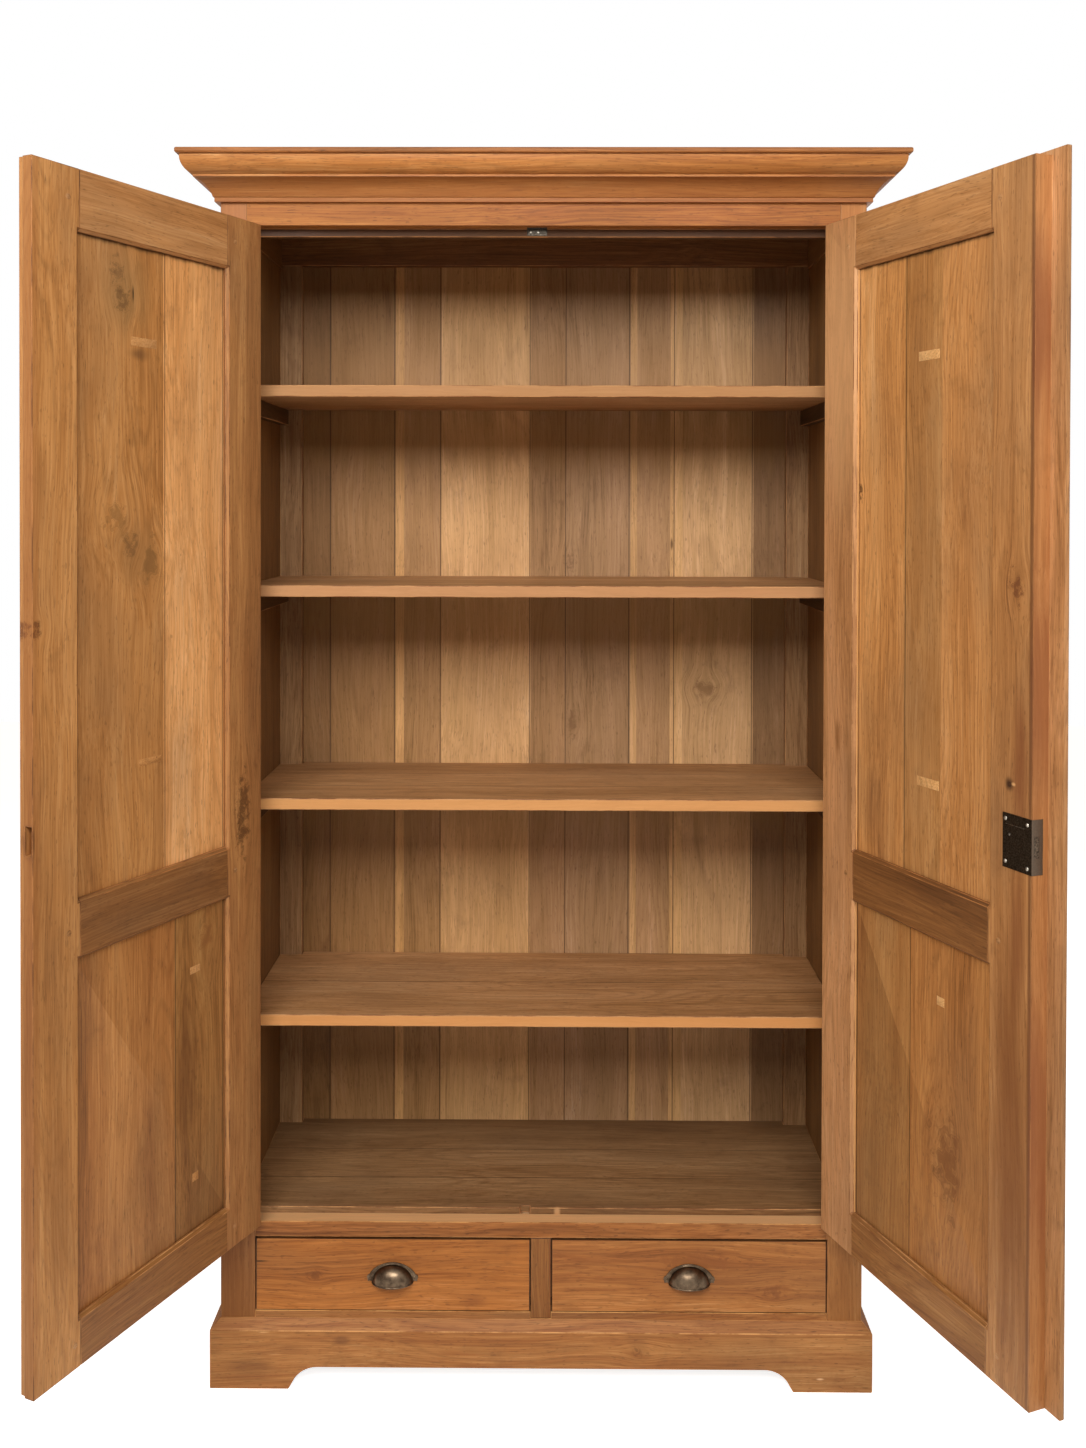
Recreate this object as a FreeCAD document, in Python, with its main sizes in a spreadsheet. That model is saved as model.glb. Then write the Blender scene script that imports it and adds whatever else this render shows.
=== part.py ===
import FreeCAD, Part
import math
import os
import re
import Sketcher

# Two-door wooden cabinet: a panelled case on a plinth, a moulded cornice, four shelves,
# two drawers below them and two framed doors that stand open.
# Frame: X to the viewer's right, Y to the wall, Z up. The origin is where the centre line
# of the back meets the floor. Lengths are millimetres.

SIZES = (
    # overall
    ("case_width", 1150), ("case_depth", 410), ("total_height", 2200),
    # face frame
    ("post_width", 62), ("frame_depth", 48), ("seat_width", 16), ("seat_depth", 30),
    ("frieze_height", 40), ("stop_height", 15), ("mid_rail_height", 28),
    ("drawer_opening_height", 133), ("lower_reveal", 12), ("bottom_rail_hidden", 36),
    ("divider_width", 36), ("divider_lap", 20),
    ("tenon_length", 40), ("tenon_thick", 14), ("tenon_set_back", 20), ("tenon_shoulder", 5),
    ("frieze_tenon_margin", 25),
    # back frame
    ("back_post_width", 78), ("back_post_depth", 43), ("back_rail_depth", 46),
    ("back_top_rail_height", 120), ("back_low_rail_height", 70), ("back_rail_inset", 4),
    ("back_board_thick", 14), ("back_board_inset", 11),
    # shares of the back's width, from the left
    ("board_one_share", 55), ("board_two_share", 133), ("board_three_share", 95),
    ("board_four_share", 185), ("board_five_share", 74), ("board_six_share", 131),
    ("board_seven_share", 93), ("board_eight_share", 161), ("board_nine_share", 67),
    ("board_groove", 8), ("board_end_gap", 1), ("tongue_length", 5), ("tongue_thick", 5),
    # side frames
    ("side_rail_inset", 3), ("side_rail_thick", 34), ("side_top_rail_height", 126),
    ("side_low_rail_height", 100), ("side_panel_inset", 18), ("side_panel_thick", 14),
    ("panel_groove", 8), ("panel_end_gap", 1),
    # shelves, floor and ceiling
    ("shelf_thick", 21), ("shelf_set_back", 35), ("shelf_back_gap", 1),
    ("cleat_height", 32), ("cleat_thick", 18),
    # shares of the height inside the case, from the floor up
    ("bay_one_share", 348), ("bay_two_share", 394), ("bay_three_share", 387),
    ("bay_four_share", 363), ("bay_five_share", 281),
    ("floor_step", 11), ("floor_thick", 18),
    ("bolt_notch_left", 38), ("bolt_notch_width", 18), ("bolt_notch_depth", 7),
    ("ceiling_rise", 63), ("ceiling_thick", 10), ("ceiling_groove", 6), ("ceiling_end_gap", 1),
    # cornice, each member from the foot up with its own throw and height
    ("bead_throw", 9), ("bead_height", 7), ("quirk_throw", 2.5), ("quirk_height", 1.5),
    ("cove_throw", 25.5), ("cove_height", 29), ("cove_radius", 44),
    ("fillet_throw", 2.5), ("fillet_height", 3.5),
    ("ovolo_throw", 19), ("ovolo_height", 28), ("ovolo_radius", 30), ("crown_band_height", 4),
    ("cap_overhang", 6.5), ("cap_round", 3.5), ("top_board_thick", 10),
    # plinth
    ("plinth_throw", 16), ("plinth_face_height", 104), ("plinth_bevel_height", 16),
    ("plinth_back_thick", 18), ("foot_width", 141), ("heel_in", 11), ("heel_rise", 19),
    ("arch_run", 40), ("arch_height", 39),
    # doors
    ("left_door_angle", 115), ("right_door_angle", 112), ("door_thick", 28),
    ("door_side_gap", 1.5), ("meeting_gap", 2), ("door_foot_gap", 1.5), ("door_head_gap", 3),
    ("stile_width", 92), ("door_top_rail_height", 92), ("door_mid_rail_height", 90),
    ("door_low_rail_height", 74), ("lower_panel_share", 533.5), ("upper_panel_share", 990),
    ("door_tenon_length", 60), ("door_tenon_thick", 9), ("door_tenon_shoulder", 12),
    ("door_panel_edge", 9), ("door_panel_groove", 9), ("door_panel_gap", 1),
    ("panel_field_rise", 5), ("panel_field_bevel", 34), ("stile_chamfer", 5),
    # hinges
    ("hinge_height", 76), ("hinge_leaf_width", 24), ("hinge_leaf_thick", 2),
    ("hinge_axis_out", 5), ("barrel_radius", 4.5), ("pin_radius", 2.2), ("pin_clearance", 0.3),
    ("knuckle_gap", 0.4), ("pin_end_height", 2),
    ("hinge_end_distance", 190),
    # cover strip, lock and keyhole on the right door
    ("strip_hold", 30), ("strip_lap", 29), ("strip_thick", 12), ("strip_round", 6),
    ("strip_relief", 0.6), ("strip_rise", 8), ("rebate_width", 10), ("rebate_depth", 3),
    ("lock_width", 60), ("lock_height", 79), ("lock_rise", 65), ("lock_body_thick", 14),
    ("lock_plate_proud", 0.8), ("lock_plate_thick", 2), ("lock_plate_margin", 5),
    ("selvedge_width", 19), ("selvedge_thick", 2),
    ("bolt_height", 30), ("bolt_thick", 8), ("bolt_length", 34), ("bolt_inner_cover", 4),
    ("bolt_room", 12), ("bolt_gap", 0.3), ("strike_depth", 13), ("strike_margin", 3),
    ("keyhole_distance", 45), ("keyhole_rise", 36), ("keyhole_radius", 4),
    ("keyhole_slot_width", 4), ("keyhole_slot_length", 12),
    ("escutcheon_radius", 13), ("escutcheon_thick", 1.5),
    # drawers
    ("drawer_side_gap", 1.5), ("drawer_foot_gap", 1.5), ("drawer_head_gap", 3.5),
    ("drawer_front_thick", 24), ("drawer_lap", 14), ("drawer_side_thick", 12),
    ("drawer_side_height", 105), ("drawer_back_gap", 50), ("drawer_back_drop", 8),
    ("drawer_bottom_rise", 9), ("drawer_bottom_thick", 7), ("drawer_bottom_groove", 6),
    ("runner_clearance", 0.3), ("runner_thick", 18), ("runner_ledge", 20), ("guide_height", 18),
    # cup pulls
    ("pull_centre", 266), ("pull_bottom", 187), ("pull_half_width", 35), ("pull_height", 30),
    ("pull_throw", 24), ("pull_wall", 1.6), ("pull_lip", 1.4), ("pull_lip_height", 2.4),
    ("pull_flange_thick", 1.5), ("pull_ear_centre", 40), ("pull_ear_radius", 6),
    ("pull_flange_rise", 33),
    # catch plate above the doors
    ("catch_left", 29), ("catch_width", 36), ("catch_leg", 12), ("catch_thick", 1.5),
    ("catch_forward", 13),
)

# Places worked out from the sizes. A place may use another place.
PLACES = {
    "half_width": "(case_width / 2)",
    "front": "(-case_depth)",
    "seat_back": "(-case_depth + seat_depth)",
    "frame_back": "(-case_depth + frame_depth)",
    "clear_half": "(case_width / 2 - post_width)",
    "seat_half": "(case_width / 2 - post_width + seat_width)",
    "cornice_crown": "(total_height - top_board_thick)",
    "back_opening": "(back_post_inner * 2)",
    "board_shares": "(board_one_share + board_two_share + board_three_share + board_four_share"
                    " + board_five_share + board_six_share + board_seven_share"
                    " + board_eight_share + board_nine_share)",
    "bay_shares": "(bay_one_share + bay_two_share + bay_three_share + bay_four_share"
                  " + bay_five_share)",
    "case_clear": "(opening_top - floor_top)",
    "shelf_one_top": "(floor_top + case_clear * bay_one_share / bay_shares)",
    "shelf_two_top": "(shelf_one_top + case_clear * bay_two_share / bay_shares)",
    "shelf_three_top": "(shelf_two_top + case_clear * bay_three_share / bay_shares)",
    "shelf_four_top": "(shelf_three_top + case_clear * bay_four_share / bay_shares)",
    "quirk_foot": "(cornice_foot + bead_height)",
    "cove_foot": "(quirk_foot + quirk_height)",
    "cove_top": "(cove_foot + cove_height)",
    "ovolo_foot": "(cove_top + fillet_height)",
    "ovolo_top": "(ovolo_foot + ovolo_height)",
    "cornice_foot": "(cornice_crown - bead_height - quirk_height - cove_height - fillet_height"
                    " - ovolo_height - crown_band_height)",
    "cove_foot_out": "(bead_throw + quirk_throw)",
    "cove_top_out": "(cove_foot_out + cove_throw)",
    "ovolo_foot_out": "(cove_top_out + fillet_throw)",
    "ovolo_top_out": "(ovolo_foot_out + ovolo_throw)",
    "cap_throw": "(ovolo_top_out + cap_overhang)",
    "opening_top": "(cornice_foot - frieze_height)",
    "stop_foot": "(opening_top - stop_height)",
    "plinth_top": "(plinth_face_height + plinth_bevel_height)",
    "drawer_floor": "(plinth_top + lower_reveal)",
    "mid_rail_foot": "(drawer_floor + drawer_opening_height)",
    "mid_rail_top": "(mid_rail_foot + mid_rail_height)",
    "floor_top": "(mid_rail_top + floor_step)",
    "floor_under": "(floor_top - floor_thick)",
    "bottom_rail_foot": "(plinth_top - bottom_rail_hidden)",
    "back_post_face": "(-back_post_depth)",
    "back_post_inner": "(half_width - back_post_width)",
    "back_rail_face": "(-back_rail_depth)",
    "back_top_foot": "(cornice_crown - back_top_rail_height)",
    "back_low_top": "(plinth_top + back_low_rail_height)",
    "board_back": "(-back_board_inset)",
    "board_face": "(-back_board_inset - back_board_thick)",
    "panel_outer": "(half_width - side_panel_inset)",
    "panel_inner": "(panel_outer - side_panel_thick)",
    "side_rail_outer": "(half_width - side_rail_inset)",
    "side_rail_inner": "(side_rail_outer - side_rail_thick)",
    "side_top_foot": "(cornice_crown - side_top_rail_height)",
    "side_low_foot": "(bottom_rail_foot)",
    "side_low_top": "(side_low_foot + side_low_rail_height)",
    "tenon_front": "(front + tenon_set_back)",
    "tenon_back": "(tenon_front + tenon_thick)",
    "ceiling_foot": "(opening_top + ceiling_rise)",
    "ceiling_top": "(ceiling_foot + ceiling_thick)",
    "plinth_outer": "(half_width + plinth_throw)",
    "foot_inner": "(plinth_outer - foot_width)",
    "heel_inner": "(foot_inner - heel_in)",
    "arch_inner": "(heel_inner - arch_run)",
    "arch_radius": "((arch_run ^ 2 + (arch_height - heel_rise) ^ 2) / (2 * (arch_height - heel_rise)))",
    # doors, in the frame of a closed leaf that starts at its hinge axis
    "axis_half": "(seat_half - door_side_gap / 2)",
    "axis_front": "(front - hinge_axis_out)",
    "leaf_near": "(door_side_gap / 2)",
    "leaf_far": "(axis_half - meeting_gap / 2)",
    "leaf_face": "(hinge_axis_out)",
    "leaf_back": "(hinge_axis_out + door_thick)",
    "door_foot": "(mid_rail_top + door_foot_gap)",
    "door_head": "(opening_top - door_head_gap)",
    "frame_near": "(leaf_near + stile_width)",
    "frame_far": "(leaf_far - stile_width)",
    "upper_low": "(lower_high + door_mid_rail_height)",
    "upper_high": "(door_head - door_top_rail_height)",
    "lower_low": "(door_foot + door_low_rail_height)",
    "panels_clear": "(upper_high - lower_low - door_mid_rail_height)",
    "panel_shares": "(lower_panel_share + upper_panel_share)",
    "lower_high": "(lower_low + panels_clear * lower_panel_share / panel_shares)",
    "door_tenon_face": "(leaf_face + (door_thick - door_tenon_thick) / 2)",
    "door_tenon_back": "(door_tenon_face + door_tenon_thick)",
    "panel_face": "(leaf_face + (door_thick - door_panel_edge) / 2)",
    "panel_back": "(panel_face + door_panel_edge)",
    "hinge_low": "(door_foot + hinge_end_distance)",
    "hinge_mid": "((door_foot + door_head) / 2)",
    "hinge_high": "(door_head - hinge_end_distance)",
    "bolt_face": "(bolt_back - bolt_thick)",
    "bolt_back": "(leaf_back - bolt_inner_cover)",
    "lock_bottom": "(upper_low + lock_rise)",
    "keyhole_height": "(lock_bottom + keyhole_rise)",
    "bolt_foot": "(lock_bottom + (lock_height - bolt_height) / 2)",
    "bolt_top": "(bolt_foot + bolt_height)",
    # drawers
    "drawer_inner": "(divider_width / 2 + drawer_side_gap)",
    "drawer_outer": "(clear_half - drawer_side_gap)",
    "drawer_foot": "(drawer_floor + drawer_foot_gap)",
    "drawer_top": "(mid_rail_foot - drawer_head_gap)",
    "drawer_back": "(-drawer_back_gap)",
    "drawer_box_foot": "(drawer_floor + runner_clearance)",
    "drawer_box_top": "(drawer_box_foot + drawer_side_height)",
    "drawer_bottom_foot": "(drawer_box_foot + drawer_bottom_rise)",
    "drawer_bottom_top": "(drawer_bottom_foot + drawer_bottom_thick)",
    # cup pulls, turned round an axis behind the drawer's face
    "pull_axis_back": "((pull_half_width ^ 2 - pull_throw ^ 2) / (2 * pull_throw))",
    "pull_rim_radius": "(pull_axis_back + pull_throw)",
    "pull_crown_radius": "((pull_throw ^ 2 + pull_height ^ 2) / (2 * pull_throw))",
    "pull_crown_centre": "(pull_rim_radius - pull_crown_radius)",
    "pull_flange_radius": "((pull_ear_centre ^ 2 + pull_flange_rise ^ 2) / (2 * pull_flange_rise))",
}

LEFT, RIGHT = -1, 1
SIDES = ((LEFT, "left"), (RIGHT, "right"))

doc = FreeCAD.newDocument("Cabinet")
sheet = doc.addObject("Spreadsheet::Sheet", "Sizes")
parts = []


def fill_sheet():
    for row, (name, value) in enumerate(SIZES, start=1):
        sheet.set(f"A{row}", name)
        sheet.set(f"B{row}", str(value))
        sheet.setAlias(f"B{row}", name)
    doc.recompute()


def tied(expression):
    """The expression with every place spelled out and every size read from the sheet."""
    text = str(expression)
    place_words = re.compile(r"\b(" + "|".join(PLACES) + r")\b")
    while place_words.search(text):
        text = place_words.sub(lambda word: PLACES[word.group(1)], text)
    size_words = re.compile(r"\b(" + "|".join(name for name, value in SIZES) + r")\b")
    return size_words.sub(r"Sizes.\1", text)


def value_of(expression):
    return float(sheet.evalExpression(tied(expression)))


def flank(side, inner, outer):
    """The X pair of a piece on one side, from its distances to the centre line."""
    if side == LEFT:
        return (f"-({outer})", f"-({inner})")
    return (inner, outer)


def leaf(side, near, far):
    """The X pair of a piece of a leaf, from its distances to the hinge axis."""
    return flank(-side, near, far)


def box(name, x, y, z):
    """A board between a low and a high place on each axis."""
    board = doc.addObject("Part::Box", name)
    for size, (low, high) in zip(("Length", "Width", "Height"), (x, y, z)):
        board.setExpression(size, tied(f"({high}) - ({low})"))
    for axis, (low, high) in zip("xyz", (x, y, z)):
        board.setExpression(f"Placement.Base.{axis}", tied(low))
    return board


def upright_cylinder(name, x, y, z, radius):
    rod = doc.addObject("Part::Cylinder", name)
    rod.setExpression("Radius", tied(radius))
    rod.setExpression("Height", tied(f"({z[1]}) - ({z[0]})"))
    for axis, place in zip("xyz", (x, y, z[0])):
        rod.setExpression(f"Placement.Base.{axis}", tied(place))
    return rod


def splay(name, x, z, low_y, high_y, low_grow, high_grow):
    """A block whose outline x, z grows by low_grow at low_y and by high_grow at high_y."""
    wedge = doc.addObject("Part::Wedge", name)
    limits = {
        "Ymin": low_y, "Ymax": high_y,
        "Xmin": f"({x[0]}) - ({low_grow})", "Xmax": f"({x[1]}) + ({low_grow})",
        "Zmin": f"({z[0]}) - ({low_grow})", "Zmax": f"({z[1]}) + ({low_grow})",
        "X2min": f"({x[0]}) - ({high_grow})", "X2max": f"({x[1]}) + ({high_grow})",
        "Z2min": f"({z[0]}) - ({high_grow})", "Z2max": f"({z[1]}) + ({high_grow})",
    }
    for limit, place in limits.items():
        wedge.setExpression(limit, tied(place))
    return wedge


def fuse(name, pieces):
    if len(pieces) == 1:
        return pieces[0]
    joined = doc.addObject("Part::MultiFuse", name)
    joined.Shapes = pieces
    joined.Refine = True
    return joined


def cut(name, base, tools):
    result = doc.addObject("Part::Cut", name)
    result.Base = base
    result.Tool = fuse(name + "_cutters", tools)
    result.Refine = True
    return result


def group(name, pieces):
    """Separate pieces of one kind in one sub-part."""
    compound = doc.addObject("Part::Compound", name)
    compound.Links = pieces
    return compound


def keep(piece, label):
    """Make an object a sub-part: its label names its file."""
    piece.Label = label
    parts.append(piece)
    return piece


def origin_plane(body, role):
    return [item for item in body.Origin.OriginFeatures if item.Role == role][0]


def arc_between(start, end, radius, bulge):
    """The shorter arc from start to end, to the right of its chord for bulge 1, left for -1."""
    chord = end.sub(start)
    middle = start.add(end).multiply(0.5)
    right = FreeCAD.Vector(chord.y, -chord.x, 0).normalize()
    reach = math.sqrt(max(radius ** 2 - (chord.Length / 2) ** 2, 0))
    crest = middle.add(right.multiply(bulge * (radius - reach)))
    return Part.Arc(start, crest, end).toShape().Curve, crest


def outline(body, plane, name, corners):
    """A closed sketch through corners (u, v, arc); arc is None or (radius, bulge) of the
    stretch that ends in that corner. Every corner is held by its two distances."""
    sketch = body.newObject("Sketcher::SketchObject", name)
    sketch.AttachmentSupport = (origin_plane(body, plane), [""])
    sketch.MapMode = "FlatFace"
    spots = [FreeCAD.Vector(value_of(u), value_of(v), 0) for u, v, arc in corners]
    starts, ends = [], []
    for index, (u, v, arc) in enumerate(corners):
        start, end = spots[index - 1], spots[index]
        if arc is None:
            edge = sketch.addGeometry(Part.LineSegment(start, end), False)
            starts.append((edge, 1))
            ends.append((edge, 2))
            continue
        radius, bulge = arc
        circle, crest = arc_between(start, end, value_of(radius), bulge)
        centre = circle.Center
        turn = (start.sub(centre)).cross(crest.sub(centre)).z
        first, last = (start, end) if turn > 0 else (end, start)
        angles = [math.atan2(spot.y - centre.y, spot.x - centre.x) for spot in (first, last)]
        flat = Part.Circle(centre, FreeCAD.Vector(0, 0, 1), circle.Radius)
        edge = sketch.addGeometry(Part.ArcOfCircle(flat, angles[0], angles[1]), False)
        starts.append((edge, 1 if turn > 0 else 2))
        ends.append((edge, 2 if turn > 0 else 1))
        held = sketch.addConstraint(Sketcher.Constraint("Radius", edge, circle.Radius))
        sketch.renameConstraint(held, f"radius{index}")
        sketch.setExpression(f"Constraints.radius{index}", tied(radius))
    for index, (edge, point) in enumerate(ends):
        following = starts[(index + 1) % len(starts)]
        sketch.addConstraint(Sketcher.Constraint("Coincident", edge, point, *following))
    for index, ((edge, point), (u, v, arc)) in enumerate(zip(ends, corners)):
        for kind, tag, place in (("DistanceX", "across", u), ("DistanceY", "up", v)):
            held = sketch.addConstraint(
                Sketcher.Constraint(kind, -1, 1, edge, point, value_of(place)))
            sketch.renameConstraint(held, f"{tag}{index}")
            sketch.setExpression(f"Constraints.{tag}{index}", tied(place))
    doc.recompute()
    return sketch


def pad(body, sketch, length, symmetric=False, reverse=False):
    feature = body.newObject("PartDesign::Pad", sketch.Name + "_pad")
    feature.Profile = sketch
    feature.setExpression("Length", tied(length))
    feature.SideType = "Symmetric" if symmetric else "One side"
    feature.Reversed = reverse
    body.Tip = feature
    doc.recompute()
    return feature


def pocket_through(body, sketch):
    feature = body.newObject("PartDesign::Pocket", sketch.Name + "_pocket")
    feature.Profile = sketch
    feature.Type = "ThroughAll"
    feature.SideType = "Symmetric"
    body.Tip = feature
    doc.recompute()
    return feature


def pairs_of_tenons(name, half, z, length="tenon_length", y=("tenon_front", "tenon_back")):
    """One tenon box for each end of a rail whose shoulders stand at plus and minus half."""
    return [box(f"{name}_{word}", flank(side, half, f"{half} + {length}"), y, z)
            for side, word in SIDES]


fill_sheet()

# Tenons of the front rails, each with its mortise in both posts.

FRIEZE_TENONS = pairs_of_tenons(
    "frieze_tenon", "clear_half",
    ("opening_top + frieze_tenon_margin", "cornice_crown - frieze_tenon_margin"))
MID_RAIL_TENONS = pairs_of_tenons(
    "mid_rail_tenon", "clear_half",
    ("mid_rail_foot + tenon_shoulder", "floor_under"))
BOTTOM_RAIL_TENONS = pairs_of_tenons(
    "bottom_rail_tenon", "clear_half",
    ("bottom_rail_foot + tenon_shoulder", "drawer_floor - tenon_shoulder"))

HINGE_CENTRES = (("low", "hinge_low"), ("mid", "hinge_mid"), ("high", "hinge_high"))


def span_round(centre, height):
    return (f"{centre} - ({height}) / 2", f"{centre} + ({height}) / 2")


def make_front_posts():
    for index, (side, word) in enumerate(SIDES):
        name = f"front_post_{word}"
        blank = box(name + "_blank", flank(side, "clear_half", "half_width"),
                    ("front", "frame_back"), (0, "cornice_crown"))
        seat = box(name + "_door_seat", flank(side, "clear_half", "seat_half"),
                   ("front", "seat_back"), ("mid_rail_top", "cornice_crown"))
        groove = box(name + "_groove", flank(side, "panel_inner", "panel_outer"),
                     ("frame_back - panel_groove", "frame_back"),
                     ("side_low_foot", "cornice_crown"))
        cutters = [seat, groove]
        cutters += [tenons[index] for tenons in (FRIEZE_TENONS, MID_RAIL_TENONS, BOTTOM_RAIL_TENONS)]
        for level, centre in HINGE_CENTRES:
            cutters.append(box(f"{name}_hinge_{level}",
                               flank(side, "seat_half", "seat_half + hinge_leaf_thick"),
                               ("front", "front + hinge_leaf_width"),
                               span_round(centre, "hinge_height")))
        keep(cut(name, blank, cutters), name)


def make_back_posts():
    for side, word in SIDES:
        name = f"back_post_{word}"
        blank = box(name + "_blank", flank(side, "back_post_inner", "half_width"),
                    ("back_post_face", 0), (0, "back_top_foot"))
        panel_slot = box(name + "_panel_groove", flank(side, "panel_inner", "panel_outer"),
                         ("back_post_face", "back_post_face + panel_groove"),
                         ("side_low_foot", "back_top_foot"))
        board_slot = box(name + "_board_groove",
                         flank(side, "back_post_inner", "back_post_inner + board_groove"),
                         ("board_face", "board_back"), ("plinth_top", "back_top_foot"))
        keep(cut(name, blank, [panel_slot, board_slot]), name)


def make_frieze_rail():
    rear = box("frieze_rear", ("-clear_half", "clear_half"), ("front", "frame_back"),
               ("stop_foot", "cornice_crown"))
    face = box("frieze_face", ("-seat_half", "seat_half"), ("front", "seat_back"),
               ("opening_top", "cornice_crown"))
    seat = box("frieze_seat", ("-seat_half", "seat_half"), ("front", "seat_back"),
               ("stop_foot", "opening_top"))
    slot = box("frieze_ceiling_groove", ("-clear_half", "clear_half"),
               ("frame_back - ceiling_groove", "frame_back"), ("ceiling_foot", "ceiling_top"))
    blank = fuse("frieze_blank", [rear, face] + FRIEZE_TENONS)
    keep(cut("frieze_rail", blank, [seat, slot]), "frieze_rail")


def make_drawer_frame():
    """The rail above the drawers, the rail below them and the post that parts them."""
    stub = box("divider_stub", ("-divider_width / 2 + tenon_shoulder", "divider_width / 2 - tenon_shoulder"),
               ("tenon_front", "tenon_back"), ("mid_rail_foot", "mid_rail_foot + tenon_thick"))
    mid = fuse("mid_rail_blank", [
        box("mid_rail_board", ("-clear_half", "clear_half"), ("front", "frame_back"),
            ("mid_rail_foot", "mid_rail_top"))] + MID_RAIL_TENONS)
    rebate = box("mid_rail_rebate", ("-clear_half", "clear_half"), ("seat_back", "frame_back"),
                 ("floor_under", "mid_rail_top"))
    keep(cut("mid_rail", mid, [rebate, stub]), "mid_rail")

    low = fuse("bottom_rail_blank", [
        box("bottom_rail_board", ("-clear_half", "clear_half"), ("front", "frame_back"),
            ("bottom_rail_foot", "drawer_floor"))] + BOTTOM_RAIL_TENONS)
    lap = box("divider_foot", ("-divider_width / 2", "divider_width / 2"),
              ("front", "front + divider_lap"), ("plinth_top", "drawer_floor"))
    keep(cut("bottom_rail", low, [lap]), "bottom_rail")

    post = box("divider_post", ("-divider_width / 2", "divider_width / 2"),
               ("front", "frame_back"), ("drawer_floor", "mid_rail_foot"))
    keep(fuse("drawer_divider", [post, lap, stub]), "drawer_divider")


def make_back_rails():
    top = box("back_top_rail_board", ("-half_width", "half_width"), ("back_rail_face", 0),
              ("back_top_foot", "cornice_crown"))
    board_slot = box("back_top_board_groove",
                     ("-back_post_inner - board_groove", "back_post_inner + board_groove"),
                     ("board_face", "board_back"), ("back_top_foot", "back_top_foot + board_groove"))
    ceiling_slot = box("back_top_ceiling_groove",
                       ("-side_rail_inner - ceiling_groove", "side_rail_inner + ceiling_groove"),
                       ("back_rail_face", "back_rail_face + ceiling_groove"),
                       ("ceiling_foot", "ceiling_top"))
    side_slots = [box(f"back_top_side_groove_{word}", flank(side, "panel_inner", "panel_outer"),
                      ("back_rail_face", "back_post_face + panel_groove"),
                      ("back_top_foot", "cornice_crown")) for side, word in SIDES]
    low = box("back_low_rail_board", ("-back_post_inner", "back_post_inner"),
              ("back_post_face", "-back_rail_inset"), ("plinth_top", "back_low_top"))
    low_slot = box("back_low_board_groove", ("-back_post_inner", "back_post_inner"),
                   ("board_face", "board_back"), ("back_low_top - board_groove", "back_low_top"))
    keep(group("back_rails", [cut("back_top_rail", top, [board_slot, ceiling_slot] + side_slots),
                              cut("back_low_rail", low, [low_slot])]), "back_rails")


# The back boards from left to right.
BACK_BOARDS = ("one", "two", "three", "four", "five", "six", "seven", "eight", "nine")


def make_back_boards():
    """Upright boards with a tongue on the right edge that enters the next board's groove."""
    tongue = ("(board_face + board_back - tongue_thick) / 2",
              "(board_face + board_back + tongue_thick) / 2")
    rise = ("back_low_top - board_groove + board_end_gap",
            "back_top_foot + board_groove - board_end_gap")
    boards = []
    left = "-back_post_inner"
    for number in BACK_BOARDS:
        name = f"back_board_{number}"
        first = number == BACK_BOARDS[0]
        last = number == BACK_BOARDS[-1]
        right = f"{left} + back_opening * board_{number}_share / board_shares"
        low = f"{left} - board_groove + board_end_gap" if first else left
        high = f"{right} + board_groove - board_end_gap" if last else right
        board = box(name + "_blank", (low, high), ("board_face", "board_back"), rise)
        if not last:
            board = fuse(name + "_tongued", [board, box(
                name + "_tongue", (right, f"{right} + tongue_length"), tongue, rise)])
        if not first:
            board = cut(name, board, [box(
                name + "_groove", (left, f"{left} + tongue_length"), tongue, rise)])
        boards.append(board)
        left = right
    keep(group("back_boards", boards), "back_boards")


def make_sides():
    """A top rail, a low rail and a panel in their grooves on each side of the case."""
    rails = []
    for side, word in SIDES:
        face = flank(side, "side_rail_inner", "side_rail_outer")
        slot = flank(side, "panel_inner", "panel_outer")
        top = fuse(f"side_top_rail_{word}_blank", [
            box(f"side_top_rail_{word}_board", face, ("frame_back", "back_rail_face"),
                ("side_top_foot", "cornice_crown")),
            box(f"side_top_rail_{word}_stub", slot,
                ("frame_back - panel_groove", "back_rail_face + panel_groove"),
                ("back_top_foot", "cornice_crown"))])
        top_groove = box(f"side_top_rail_{word}_groove", slot,
                         ("frame_back - panel_groove", "back_rail_face + panel_groove"),
                         ("side_top_foot", "side_top_foot + panel_groove"))
        ceiling_slot = box(f"side_top_rail_{word}_ceiling_groove",
                           flank(side, "side_rail_inner", "side_rail_inner + ceiling_groove"),
                           ("frame_back", "back_rail_face"), ("ceiling_foot", "ceiling_top"))
        rails.append(cut(f"side_top_rail_{word}", top, [top_groove, ceiling_slot]))
        low = fuse(f"side_low_rail_{word}_blank", [
            box(f"side_low_rail_{word}_board", face, ("frame_back", "back_post_face"),
                ("side_low_foot", "side_low_top")),
            box(f"side_low_rail_{word}_stub", slot,
                ("frame_back - panel_groove", "back_post_face + panel_groove"),
                ("side_low_foot", "side_low_top"))])
        rails.append(cut(f"side_low_rail_{word}", low, [
            box(f"side_low_rail_{word}_groove", slot,
                ("frame_back - panel_groove", "back_post_face + panel_groove"),
                ("side_low_top - panel_groove", "side_low_top"))]))
        keep(box(f"side_panel_{word}", slot,
                 ("frame_back - panel_groove + panel_end_gap",
                  "back_post_face + panel_groove - panel_end_gap"),
                 ("side_low_top - panel_groove + panel_end_gap",
                  "side_top_foot + panel_groove - panel_end_gap")), f"side_panel_{word}")
    keep(group("side_rails", rails), "side_rails")


SHELVES = (("shelf_1", "shelf_one_top"), ("shelf_2", "shelf_two_top"),
           ("shelf_3", "shelf_three_top"), ("shelf_4", "shelf_four_top"))


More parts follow.
